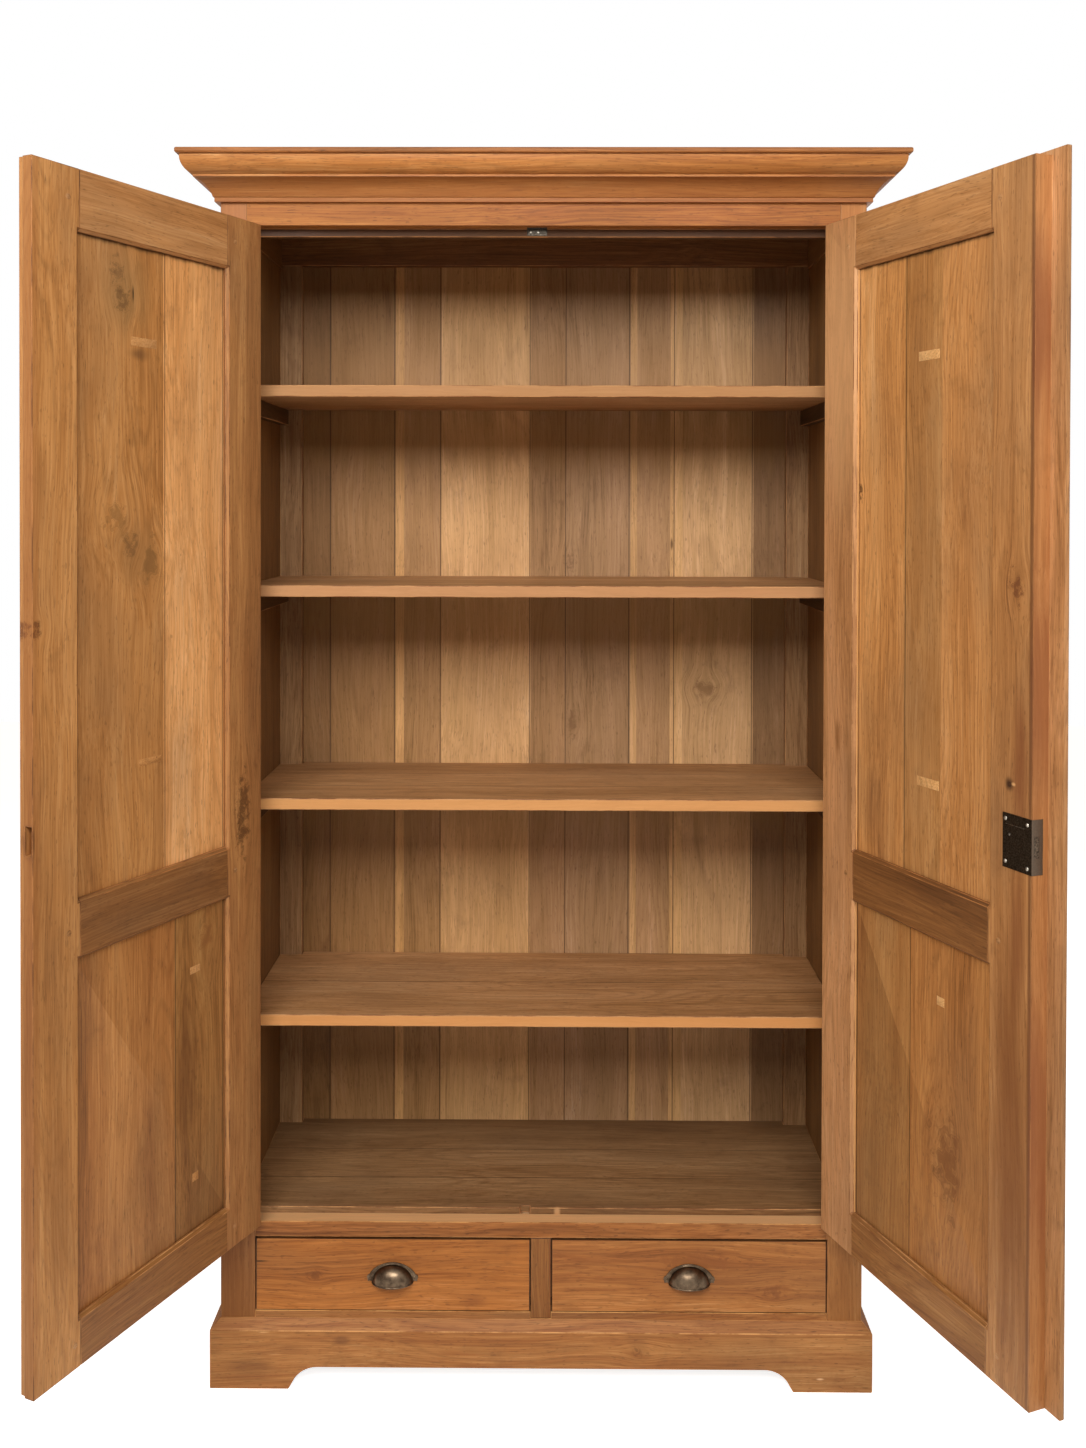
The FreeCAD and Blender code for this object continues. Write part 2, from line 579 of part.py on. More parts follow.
def corner_notches(name, thickness):
    """What the four posts take out of a board that fills the case, as a pair at each end."""
    notches = []
    for side, word in SIDES:
        notches.append(box(f"{name}_front_notch_{word}", flank(side, "clear_half", "half_width"),
                           ("front", "frame_back"), thickness))
        notches.append(box(f"{name}_back_notch_{word}", flank(side, "back_post_inner", "half_width"),
                           ("back_post_face", 0), thickness))
    return notches


def make_shelves():
    """Four loose shelves and the case floor, each notched round the posts, on side cleats."""
    cleats = []
    for name, top in SHELVES:
        thickness = (f"{top} - shelf_thick", top)
        board = box(name + "_board", ("-panel_inner", "panel_inner"),
                    ("front + shelf_set_back", "board_face - shelf_back_gap"), thickness)
        keep(cut(name, board, corner_notches(name, thickness)), name)
        cleats += cleat_pair(name, f"{top} - shelf_thick")

    thickness = ("floor_under", "floor_top")
    board = box("case_floor_board", ("-panel_inner", "panel_inner"),
                ("seat_back", "board_face - shelf_back_gap"), thickness)
    notch = box("case_floor_bolt_notch", ("-bolt_notch_left", "-bolt_notch_left + bolt_notch_width"),
                ("seat_back", "seat_back + bolt_notch_depth"), ("mid_rail_top", "floor_top"))
    keep(cut("case_floor", board, corner_notches("case_floor", thickness) + [notch]), "case_floor")
    cleats += cleat_pair("case_floor", "floor_under")
    keep(group("shelf_cleats", cleats), "shelf_cleats")

    ceiling = box("ceiling_blank",
                  ("-side_rail_inner - ceiling_groove + ceiling_end_gap",
                   "side_rail_inner + ceiling_groove - ceiling_end_gap"),
                  ("frame_back - ceiling_groove + ceiling_end_gap",
                   "back_rail_face + ceiling_groove - ceiling_end_gap"),
                  ("ceiling_foot", "ceiling_top"))
    corners = [box(f"ceiling_notch_{word}", flank(side, "clear_half", "half_width"),
                   ("front", "frame_back"), ("ceiling_foot", "ceiling_top")) for side, word in SIDES]
    keep(cut("ceiling_board", ceiling, corners), "ceiling_board")


def cleat_pair(name, top):
    return [box(f"{name}_cleat_{word}", flank(side, "panel_inner - cleat_thick", "panel_inner"),
                ("frame_back", "back_post_face"), (f"{top} - cleat_height", top))
            for side, word in SIDES]


def mitre_cutter(name, side, quarter_turn):
    """A square block that starts at the case's front corner, turned to the mitre."""
    block = doc.addObject("Part::Box", name)
    block.setExpression("Length", tied("cap_throw * 3"))
    block.setExpression("Width", tied("cap_throw * 3"))
    block.setExpression("Height", tied("total_height"))
    block.setExpression("Placement.Base.x", tied(f"{side} * half_width"))
    block.setExpression("Placement.Base.y", tied("front"))
    block.Placement.Rotation = FreeCAD.Rotation(FreeCAD.Vector(0, 0, 1), quarter_turn)
    return block


# Each cutter takes away what lies past the mitre: off the front piece's ends or off a side's end.
FRONT_MITRES = [mitre_cutter("front_mitre_left", LEFT, 135), mitre_cutter("front_mitre_right", RIGHT, -45)]
SIDE_MITRES = {side: mitre_cutter(f"side_mitre_{word}", side, 225) for side, word in SIDES}


def cornice_section(along):
    """The moulding's corners from its foot up; along(throw) gives the outward coordinate."""
    return [
        (along("0"), "cornice_foot", None),
        (along("bead_throw"), "cornice_foot", None),
        (along("bead_throw"), "quirk_foot", None),
        (along("cove_foot_out"), "cove_foot", None),
        (along("cove_top_out"), "cove_top", "cove"),
        (along("ovolo_foot_out"), "cove_top", None),
        (along("ovolo_foot_out"), "ovolo_foot", None),
        (along("ovolo_top_out"), "ovolo_top", "ovolo"),
        (along("ovolo_top_out"), "cornice_crown", None),
        (along("0"), "cornice_crown", None),
    ]


def curved(corners, direction):
    """The same corners with the hollow and the round as arcs."""
    curves = {"cove": ("cove_radius", -direction), "ovolo": ("ovolo_radius", direction)}
    return [(u, v, curves.get(arc)) for u, v, arc in corners]


def make_cornice():
    front = doc.addObject("PartDesign::Body", "cornice_front_body")
    section = curved(cornice_section(lambda throw: f"front - ({throw})"), -1)
    sketch = outline(front, "YZ_Plane", "cornice_front_section", section)
    pad(front, sketch, "case_width + 2 * cap_throw", symmetric=True)
    keep(cut("cornice_front", front, FRONT_MITRES), "cornice_front")
    for side, word in SIDES:
        body = doc.addObject("PartDesign::Body", f"cornice_{word}_body")
        section = cornice_section(lambda throw: f"{side} * (half_width + {throw})")
        sketch = outline(body, "XZ_Plane", f"cornice_{word}_section", curved(section, side))
        pad(body, sketch, "case_depth + cap_throw")
        keep(cut(f"cornice_{word}", body, [SIDE_MITRES[side]]), f"cornice_{word}")


def make_top_board():
    body = doc.addObject("PartDesign::Body", "top_board")
    sketch = outline(body, "XZ_Plane", "top_board_section", [
        ("-half_width - cap_throw", "cornice_crown", None),
        ("half_width + cap_throw", "cornice_crown", None),
        ("half_width + cap_throw", "total_height", None),
        ("-half_width - cap_throw", "total_height", None),
    ])
    slab = pad(body, sketch, "case_depth + cap_throw")
    side_x = value_of("half_width + cap_throw")
    front_y = value_of("front - cap_throw")
    edges = []
    for number, edge in enumerate(slab.Shape.Edges, start=1):
        middle = edge.CenterOfMass
        level = edge.BoundBox.ZLength < 1e-6
        outer = abs(abs(middle.x) - side_x) < 1e-3 or abs(middle.y - front_y) < 1e-3
        if level and outer:
            edges.append(f"Edge{number}")
    rounding = body.newObject("PartDesign::Fillet", "top_board_round")
    rounding.Base = (slab, edges)
    rounding.setExpression("Radius", tied("min(cap_round; top_board_thick * 0.4)"))
    body.Tip = rounding
    keep(body, "top_board")


def make_plinth():
    """Bevelled boards round the foot of the case; the front one is cut away between its feet."""
    def section(along):
        return [(along("0"), 0, None), (along("plinth_throw"), 0, None),
                (along("plinth_throw"), "plinth_face_height", None), (along("0"), "plinth_top", None)]

    front = doc.addObject("PartDesign::Body", "plinth_front_body")
    sketch = outline(front, "YZ_Plane", "plinth_front_section", section(lambda throw: f"front - {throw}"))
    pad(front, sketch, "case_width + 2 * cap_throw", symmetric=True)
    arch = outline(front, "XZ_Plane", "plinth_arch", [
        ("-foot_inner", "-heel_rise", None),
        ("-foot_inner", 0, None),
        ("-heel_inner", "heel_rise", None),
        ("-arch_inner", "arch_height", ("arch_radius", -1)),
        ("arch_inner", "arch_height", None),
        ("heel_inner", "heel_rise", ("arch_radius", -1)),
        ("foot_inner", 0, None),
        ("foot_inner", "-heel_rise", None),
    ])
    pocket_through(front, arch)
    keep(cut("plinth_front", front, FRONT_MITRES), "plinth_front")
    for side, word in SIDES:
        body = doc.addObject("PartDesign::Body", f"plinth_{word}_body")
        sketch = outline(body, "XZ_Plane", f"plinth_{word}_section",
                         section(lambda throw: f"{side} * (half_width + {throw})"))
        pad(body, sketch, "case_depth + cap_throw")
        keep(cut(f"plinth_{word}", body, [SIDE_MITRES[side]]), f"plinth_{word}")
    keep(box("plinth_back", ("-back_post_inner", "back_post_inner"), ("-plinth_back_thick", 0),
             (0, "plinth_top")), "plinth_back")


def make_runners():
    """Ledges under the drawer sides with a guide strip beside each drawer."""
    y = ("frame_back", "back_post_face")
    ledge = ("drawer_floor - runner_thick", "drawer_floor")
    guide = ("drawer_floor", "drawer_floor + guide_height")
    runners = []
    for side, word in SIDES:
        runners.append(fuse(f"outer_runner_{word}", [
            box(f"outer_runner_{word}_ledge", flank(side, "drawer_outer - runner_ledge", "side_rail_inner"),
                y, ledge),
            box(f"outer_runner_{word}_guide", flank(side, "clear_half", "side_rail_inner"), y, guide)]))
    runners.append(fuse("centre_runner", [
        box("centre_runner_ledge", ("-drawer_inner - runner_ledge", "drawer_inner + runner_ledge"), y, ledge),
        box("centre_runner_guide", ("-divider_width / 2", "divider_width / 2"), y, guide)]))
    keep(group("drawer_runners", runners), "drawer_runners")


def make_top_catch():
    x = ("-catch_left", "-catch_left + catch_width")
    leg = box("top_catch_leg", x, ("seat_back - catch_thick", "seat_back"),
              ("opening_top - catch_leg", "opening_top"))
    foot = box("top_catch_foot", x, ("seat_back - catch_forward", "seat_back"),
               ("opening_top - catch_thick", "opening_top"))
    keep(fuse("top_catch", [leg, foot]), "top_catch")


def knuckle_span(centre, upper):
    """The Z pair of a hinge's upper or lower knuckle, less half the running gap."""
    if upper:
        return (f"{centre} + knuckle_gap / 2", f"{centre} + hinge_height / 2")
    return (f"{centre} - hinge_height / 2", f"{centre} - knuckle_gap / 2")


def hinge_leaf(name, centre, upper, plate_x, axis_x, axis_y, plate_y, bore):
    """A plate with its one knuckle, bored for the pin; the frame's knuckle is the lower one."""
    span = knuckle_span(centre, upper)
    blank = fuse(name + "_blank", [
        box(name + "_plate", plate_x, plate_y, span_round(centre, "hinge_height")),
        box(name + "_web", plate_x, (axis_y, plate_y[0]), span),
        upright_cylinder(name + "_knuckle", axis_x, axis_y, span, "barrel_radius")])
    return cut(name, blank, [upright_cylinder(
        name + "_bore", axis_x, axis_y, span_round(centre, "hinge_height + pin_end_height"), bore)])


def make_frame_hinges():
    leaves, pins = [], []
    for side, word in SIDES:
        axis_x = f"{side} * axis_half"
        for level, centre in HINGE_CENTRES:
            name = f"{word}_{level}_frame_leaf"
            leaves.append(hinge_leaf(name, centre, False,
                                     flank(side, "seat_half", "seat_half + hinge_leaf_thick"),
                                     axis_x, "axis_front", ("front", "front + hinge_leaf_width"),
                                     "pin_radius"))
            pins.append(upright_cylinder(f"{word}_{level}_pin", axis_x, "axis_front",
                                         span_round(centre, "hinge_height + pin_end_height"),
                                         "pin_radius"))
    keep(group("frame_hinge_leaves", leaves), "frame_hinge_leaves")
    keep(group("hinge_pins", pins), "hinge_pins")


def hang(piece, side, word):
    """Place a piece of a leaf on its hinge axis with the leaf swung open."""
    piece.setExpression("Placement.Base.x", tied(f"{side} * axis_half"))
    piece.setExpression("Placement.Base.y", tied("axis_front"))
    piece.setExpression("Placement.Rotation.Angle", tied(f"{side} * {word}_door_angle * 1 deg"))
    return keep(piece, piece.Name)


def make_door(side, word):
    """Two stiles, three rails and two fielded panels, tenoned, grooved and chamfered."""
    name = f"{word}_door"
    openings = {"upper": ("upper_low", "upper_high"), "lower": ("lower_low", "lower_high")}
    across = leaf(side, "frame_near", "frame_far")
    grooves, chamfers = [], []
    for level, (low, high) in openings.items():
        grooves.append(box(f"{name}_{level}_groove",
                           leaf(side, "frame_near - door_panel_groove", "frame_far + door_panel_groove"),
                           ("panel_face", "panel_back"),
                           (f"{low} - door_panel_groove", f"{high} + door_panel_groove")))
        chamfers.append(splay(f"{name}_{level}_face_chamfer", across, (low, high), "leaf_face",
                              "leaf_face + stile_chamfer", "stile_chamfer", 0))
        chamfers.append(splay(f"{name}_{level}_back_chamfer", across, (low, high),
                              "leaf_back - stile_chamfer", "leaf_back", 0, "stile_chamfer"))
    rails = {
        "top_rail": ("upper_high", "door_head"),
        "mid_rail": ("lower_high", "upper_low"),
        "bottom_rail": ("door_foot", "lower_low"),
    }
    depth = ("leaf_face", "leaf_back")
    near_tenons, far_tenons = [], []
    for rail, (low, high) in rails.items():
        span = (f"{low} + door_tenon_shoulder", f"{high} - door_tenon_shoulder")
        tenon_depth = ("door_tenon_face", "door_tenon_back")
        near_tenons.append(box(f"{name}_{rail}_near_tenon",
                               leaf(side, "frame_near - door_tenon_length", "frame_near"), tenon_depth, span))
        far_tenons.append(box(f"{name}_{rail}_far_tenon",
                              leaf(side, "frame_far", "frame_far + door_tenon_length"), tenon_depth, span))
        board = box(f"{name}_{rail}_board", across, depth, (low, high))
        shaped = cut(f"{name}_{rail}_grooved", board, grooves + chamfers)
        hang(fuse(f"{name}_{rail}", [shaped, near_tenons[-1], far_tenons[-1]]), side, word)

    hinge_slots = [box(f"{name}_hinge_slot_{level}", leaf(side, "leaf_near", "leaf_near + hinge_leaf_thick"),
                       ("leaf_face", "leaf_face + hinge_leaf_width"), span_round(centre, "hinge_height"))
                   for level, centre in HINGE_CENTRES]
    hinge_stile = box(f"{name}_hinge_stile_board", leaf(side, "leaf_near", "frame_near"), depth,
                      ("door_foot", "door_head"))
    hang(cut(f"{name}_hinge_stile", hinge_stile, grooves + chamfers + near_tenons + hinge_slots), side, word)

    meeting = box(f"{name}_meeting_stile_board", leaf(side, "frame_far", "leaf_far"), depth,
                  ("door_foot", "door_head"))
    fittings = [strike_mortise(side), edge_rebate(side)] if side == LEFT else lock_seats(side)
    hang(cut(f"{name}_meeting_stile", meeting, grooves + chamfers + far_tenons + fittings), side, word)

    for level, (low, high) in openings.items():
        edge = "door_panel_groove - door_panel_gap"
        sheet_piece = box(f"{name}_{level}_panel_sheet",
                          leaf(side, f"frame_near - ({edge})", f"frame_far + ({edge})"),
                          ("panel_face", "panel_back"), (f"{low} - ({edge})", f"{high} + ({edge})"))
        field = splay(f"{name}_{level}_panel_field", across, (low, high),
                      "panel_face - panel_field_rise", "panel_face", "-panel_field_bevel", 0)
        hang(fuse(f"{name}_{level}_panel", [sheet_piece, field]), side, word)

    leaves = [hinge_leaf(f"{name}_{level}_leaf", centre, True,
                         leaf(side, "leaf_near", "leaf_near + hinge_leaf_thick"), 0, 0,
                         ("leaf_face", "leaf_face + hinge_leaf_width"), "pin_radius + pin_clearance")
              for level, centre in HINGE_CENTRES]
    hang(group(f"{name}_hinge_leaves", leaves), side, word)


def strike_mortise(side):
    """The pocket in the left door's edge that receives the bolt."""
    return box("strike_mortise", leaf(side, "leaf_far - strike_depth", "leaf_far"),
               ("bolt_face - strike_margin", "bolt_back + strike_margin / 2"),
               ("bolt_foot - strike_margin * 2", "bolt_top + strike_margin * 2"))


def edge_rebate(side):
    """The shallow step down the front of the left door's free edge."""
    return box("edge_rebate", leaf(side, "leaf_far - rebate_depth", "leaf_far"),
               ("leaf_face", "leaf_face + rebate_width"), ("door_foot", "door_head"))


def lock_blocks(side, tag):
    """The body let into the door's back, its cover plate and its edge plate."""
    tall = ("lock_bottom", "lock_bottom + lock_height")
    inner = ("lock_bottom + lock_plate_margin", "lock_bottom + lock_height - lock_plate_margin")
    return [
        box(f"lock_{tag}_body", leaf(side, "leaf_far - lock_width + lock_plate_margin", "leaf_far"),
            ("leaf_back - lock_body_thick", "leaf_back"), inner),
        box(f"lock_{tag}_plate", leaf(side, "leaf_far - lock_width", "leaf_far"),
            ("leaf_back - lock_plate_thick + lock_plate_proud", "leaf_back + lock_plate_proud"), tall),
        box(f"lock_{tag}_selvedge", leaf(side, "leaf_far - selvedge_thick", "leaf_far"),
            ("leaf_back - selvedge_width", "leaf_back + lock_plate_proud"), tall),
    ]


def keyhole(side, tag):
    """A round hole with a slot below it, through the door's front."""
    drill = doc.addObject("Part::Cylinder", f"keyhole_{tag}_round")
    drill.setExpression("Radius", tied("keyhole_radius"))
    drill.setExpression("Height", tied("door_thick"))
    drill.setExpression("Placement.Base.x", tied(f"-({side}) * (leaf_far - keyhole_distance)"))
    drill.setExpression("Placement.Base.y", tied("leaf_back - lock_body_thick"))
    drill.setExpression("Placement.Base.z", tied("keyhole_height"))
    drill.Placement.Rotation = FreeCAD.Rotation(FreeCAD.Vector(1, 0, 0), 90)
    slot = box(f"keyhole_{tag}_slot",
               leaf(side, "leaf_far - keyhole_distance - keyhole_slot_width / 2",
                    "leaf_far - keyhole_distance + keyhole_slot_width / 2"),
               ("leaf_back - lock_body_thick - door_thick", "leaf_back - lock_body_thick"),
               ("keyhole_height - keyhole_slot_length", "keyhole_height"))
    return [drill, slot]


def lock_seats(side):
    return lock_blocks(side, "seat") + keyhole(side, "door")


def make_lock(side, word):
    """A cupboard lock in the meeting stile: case, sliding bolt and keyhole plate."""
    gap = "bolt_gap"
    channel = box("lock_bolt_channel", leaf(side, "leaf_far - bolt_length - bolt_room", "leaf_far"),
                  (f"bolt_face - {gap}", f"bolt_back + {gap}"), (f"bolt_foot - {gap}", f"bolt_top + {gap}"))
    case = cut("lock_case", fuse("lock_case_blank", lock_blocks(side, "case")), [channel])
    hang(case, side, word)
    bolt = box("lock_bolt_bar", leaf(side, "leaf_far - bolt_length", "leaf_far"),
               ("bolt_face", "bolt_back"), ("bolt_foot", "bolt_top"))
    nick = box("lock_bolt_nick", leaf(side, "leaf_far - bolt_length", "leaf_far - bolt_length + bolt_thick"),
               ("bolt_face", "bolt_back"), ("bolt_foot", "bolt_foot + bolt_thick"))
    hang(cut("lock_bolt", bolt, [nick]), side, word)

    disc = doc.addObject("Part::Cylinder", "escutcheon_disc")
    disc.setExpression("Radius", tied("escutcheon_radius"))
    disc.setExpression("Height", tied("escutcheon_thick"))
    disc.setExpression("Placement.Base.x", tied(f"-({side}) * (leaf_far - keyhole_distance)"))
    disc.setExpression("Placement.Base.y", tied("leaf_face"))
    disc.setExpression("Placement.Base.z", tied("keyhole_height - keyhole_slot_length / 2"))
    disc.Placement.Rotation = FreeCAD.Rotation(FreeCAD.Vector(1, 0, 0), 90)
    hang(cut("escutcheon", disc, keyhole(side, "escutcheon")), side, word)


def make_cover_strip(side, word):
    """The strip on the right door's front that laps over the left door when both are shut."""
    edge = "leaf_far"
    body = doc.addObject("PartDesign::Body", "cover_strip_rod")
    face = "leaf_face - strip_thick"
    sketch = outline(body, "XY_Plane", "cover_strip_section", [
        (f"-({edge} - strip_hold)", "leaf_face", None),
        (f"-({edge} - strip_hold)", f"{face} + strip_round", None),
        (f"-({edge} - strip_hold + strip_round)", face, ("strip_round", -1)),
        (f"-({edge} + strip_lap - strip_round)", face, None),
        (f"-({edge} + strip_lap)", f"{face} + strip_round", ("strip_round", -1)),
        (f"-({edge} + strip_lap)", "leaf_face - strip_relief", None),
        (f"-({edge})", "leaf_face - strip_relief", None),
        (f"-({edge})", "leaf_face", None),
    ])
    pad(body, sketch, "door_head + strip_rise - (door_foot)")
    body.setExpression("Placement.Base.z", tied("door_foot"))
    relief = box("cover_strip_head_relief", leaf(side, f"{edge} - strip_hold", f"{edge} + strip_lap"),
                 ("leaf_face - strip_relief", "leaf_face"), ("door_head", "door_head + strip_rise"))
    hang(cut("cover_strip", body, [relief]), side, word)


def make_drawer(side, word):
    """A front with lapped sides, a back and a bottom that slides in grooves."""
    name = f"{word}_drawer"
    tall = ("drawer_box_foot", "drawer_box_top")
    run = ("front + drawer_front_thick - drawer_lap", "drawer_back")
    sides = [
        box(f"{name}_inner_side", flank(side, "drawer_inner", "drawer_inner + drawer_side_thick"), run, tall),
        box(f"{name}_outer_side", flank(side, "drawer_outer - drawer_side_thick", "drawer_outer"), run, tall),
    ]
    board = box(f"{name}_bottom_board",
                flank(side, "drawer_inner + drawer_side_thick - drawer_bottom_groove",
                      "drawer_outer - drawer_side_thick + drawer_bottom_groove"),
                ("front + drawer_front_thick - drawer_bottom_groove", "drawer_back"),
                ("drawer_bottom_foot", "drawer_bottom_top"))
    blank = box(f"{name}_front_board", flank(side, "drawer_inner", "drawer_outer"),
                ("front", "front + drawer_front_thick"), ("drawer_foot", "drawer_top"))
    keep(cut(f"{name}_front", blank, sides + [board]), f"{name}_front")
    back = box(f"{name}_back",
               flank(side, "drawer_inner + drawer_side_thick", "drawer_outer - drawer_side_thick"),
               ("drawer_back - drawer_side_thick", "drawer_back"),
               ("drawer_bottom_top", "drawer_box_top - drawer_back_drop"))
    grooved = [cut(side_board.Name + "_grooved", side_board, [board]) for side_board in sides]
    keep(group(f"{name}_box", grooved + [back]), f"{name}_box")
    keep(board, f"{name}_bottom")


CROWN_STEPS = 5


def dome(name, side, grow):
    """A cup pull's turned form, grown by a margin: a crown of short cones round an upright
    axis that stands behind the drawer's face, with a straight skirt below the open bottom."""
    body = doc.addObject("PartDesign::Body", name)
    bulge = f"(pull_crown_radius + ({grow}))"
    angles = [90 * step / CROWN_STEPS for step in range(CROWN_STEPS + 1)]
    crown = [(f"pull_crown_centre + {bulge} * cos({angle} deg)", f"{bulge} * sin({angle} deg)", None)
             for angle in angles]
    sketch = outline(body, "XZ_Plane", name + "_profile", [
        ("pull_crown_centre", "-pull_lip_height", None),
        (f"pull_crown_centre + {bulge}", "-pull_lip_height", None),
        *crown,
    ])
    turned = body.newObject("PartDesign::Revolution", name + "_turned")
    turned.Profile = sketch
    turned.ReferenceAxis = (sketch, ["V_Axis"])
    turned.Angle = 360
    body.Tip = turned
    body.setExpression("Placement.Base.x", tied(f"{side} * pull_centre"))
    body.setExpression("Placement.Base.y", tied("front + pull_axis_back"))
    body.setExpression("Placement.Base.z", tied("pull_bottom"))
    return body


def dome_slice(name, side, grow, height):
    """What a dome has in front of the drawer, from the pull's open bottom up to a height."""
    limit = box(name + "_limit",
                flank(side, "pull_centre - pull_half_width * 2", "pull_centre + pull_half_width * 2"),
                ("front - pull_throw * 2", "front"), ("pull_bottom", f"pull_bottom + {height}"))
    shape = doc.addObject("Part::Common", name)
    shape.Base = dome(name + "_dome", side, grow)
    shape.Tool = limit
    return shape


def make_cup_pull(side, word):
    """A half-dome pull: a thin shell open below, its lip and a flange with two ears."""
    name = f"{word}_cup_pull"
    centre = f"{side} * pull_centre"
    body = doc.addObject("PartDesign::Body", name + "_flange")
    sketch = outline(body, "XZ_Plane", name + "_flange_outline", [
        (f"{centre} - pull_ear_centre", "pull_bottom", ("pull_flange_radius", 1)),
        (f"{centre} + pull_ear_centre", "pull_bottom", None),
        (centre, "pull_bottom + pull_flange_rise", ("pull_flange_radius", 1)),
    ])
    pad(body, sketch, "pull_flange_thick")
    body.setExpression("Placement.Base.y", tied("front"))
    pieces = [body, dome_slice(name + "_shell", side, 0, "pull_height * 2"),
              dome_slice(name + "_lip", side, "pull_lip", "pull_lip_height")]
    for sign in ("-", "+"):
        ear = doc.addObject("Part::Cylinder", f"{name}_ear")
        ear.setExpression("Radius", tied("pull_ear_radius"))
        ear.setExpression("Height", tied("pull_flange_thick"))
        ear.setExpression("Placement.Base.x", tied(f"{centre} {sign} pull_ear_centre"))
        ear.setExpression("Placement.Base.y", tied("front"))
        ear.setExpression("Placement.Base.z", tied("pull_bottom + pull_ear_radius"))
        ear.Placement.Rotation = FreeCAD.Rotation(FreeCAD.Vector(1, 0, 0), 90)
        pieces.append(ear)
    hollow = dome(name + "_hollow", side, "-pull_wall")
    keep(cut(name, fuse(name + "_blank", pieces), [hollow]), name)


def export_parts():
    doc.recompute()
    faults = [item.Name for item in doc.Objects if {"Invalid", "Error"} & set(item.State)]
    faults += [piece.Label for piece in parts if piece.Shape.isNull() or not piece.Shape.isValid()]
    if faults:
        raise RuntimeError("objects that failed: " + ", ".join(faults))
    os.makedirs("parts", exist_ok=True)
    for piece in parts:
        piece.Shape.exportStep(f"parts/{piece.Label}.step")


make_front_posts()
make_back_posts()
make_frieze_rail()
make_drawer_frame()
make_back_rails()
make_back_boards()
make_sides()
make_shelves()
make_cornice()
make_top_board()
make_plinth()
make_runners()
make_top_catch()
make_frame_hinges()
for door_side, door_word in SIDES:
    make_door(door_side, door_word)
make_lock(RIGHT, "right")
make_cover_strip(RIGHT, "right")
for drawer_side, drawer_word in SIDES:
    make_drawer(drawer_side, drawer_word)
    make_cup_pull(drawer_side, drawer_word)
export_parts()
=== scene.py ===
"""An old teak cabinet with both doors open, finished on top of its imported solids."""
from math import cos, pi, radians, sin

import bmesh
import bpy
from mathutils import Matrix, Vector


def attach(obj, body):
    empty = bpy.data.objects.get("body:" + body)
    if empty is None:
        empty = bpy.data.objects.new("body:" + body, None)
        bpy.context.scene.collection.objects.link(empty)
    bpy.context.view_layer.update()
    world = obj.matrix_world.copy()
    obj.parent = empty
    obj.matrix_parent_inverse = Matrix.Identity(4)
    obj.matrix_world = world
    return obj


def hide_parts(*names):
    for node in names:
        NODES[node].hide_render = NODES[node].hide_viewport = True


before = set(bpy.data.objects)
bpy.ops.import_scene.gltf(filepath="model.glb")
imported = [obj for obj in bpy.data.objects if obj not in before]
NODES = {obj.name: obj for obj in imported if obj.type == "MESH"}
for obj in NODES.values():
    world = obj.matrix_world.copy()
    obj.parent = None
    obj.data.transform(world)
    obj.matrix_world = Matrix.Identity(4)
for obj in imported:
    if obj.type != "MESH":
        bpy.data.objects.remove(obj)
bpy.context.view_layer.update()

MM = 0.001
LEFT, RIGHT = -1, 1
SIDES = ((LEFT, "left"), (RIGHT, "right"))

# the cabinet's own places, in metres from its middle, its back and the floor
# The case's front face, which the drawers lie flush with.
FRONT = -0.410
# The hinge pins stand this far out and this far forward, and the leaves are open by these turns.
LEAF_AXIS = (0.52825, -0.415)
LEAF_OPEN = {LEFT: radians(-115), RIGHT: radians(112)}
# Inwards of this line a front post is its door's seat.
POST_SEAT = 0.5133
# The upper stop hangs below the first level, and the cornice's plain band below the second.
STOP_TOP = 2.0765
BAND_TOP = 2.1562
# The rail above the drawers has its ledge and its underside here, and the lower rail its top.
LEDGE = 0.2925
RAIL_FOOT = 0.2653
LOW_RAIL_TOP = 0.1318
# The slim post's sides, the drawer fronts' upper and lower edges and the shelves' front edges.
DIVIDER_SIDE = 0.0177
DRAWER_TOP = 0.2612
DRAWER_FOOT = 0.1338
SHELF_FACE = -0.3747
# A leaf is measured along from its pins: its hinge stile's inner edge, its panels' two sides and
# its meeting stile's inner and free edges. Then the levels of two rails' undersides.
HINGE_STILE_EDGE = 0.0919
PANEL_SIDES = (0.0945, 0.4338)
MEETING_STILE_EDGE = 0.4368
FREE_EDGE = 0.5262
RAIL_UNDERSIDES = {"top_rail": 1.982, "mid_rail": 0.902}
# A cup pull's middle and its foot.
PULL_CENTRE = 0.266
PULL_FOOT = 0.187
# How deep an outer face's own tone goes, and over how much it fades.
SKIN = 0.6 * MM
SKIN_RIM = 0.4 * MM

# small fittings, in millimetres
# How far the pegs, the slips and the lock's plate lie behind the plane of a leaf's pins.
PEG_DEPTH = 32.6
SLIP_DEPTH = 23.35
LOCK_FACE = 33.8
# The levels of the hinges' middles, and how far their outer screws stand from them.
HINGE_LEVELS = (484.5, 1184.25, 1884)
SCREW_STEP = 26
# The plugged hole over the lock, along its leaf and above the floor.
PLUG_ALONG, PLUG_LEVEL = 480, 1178
# How far a cup pull's ears reach from its middle and rise from its foot, and its plate's rise
# and thickness.
EAR_REACH = 40
EAR_RISE = 6
PLATE_RISE = 33
PLATE_THICK = 1.4

# A turn sharper than this is an edge: it is rubbed on wood and stays crisp in shading.
SHARP = radians(35)


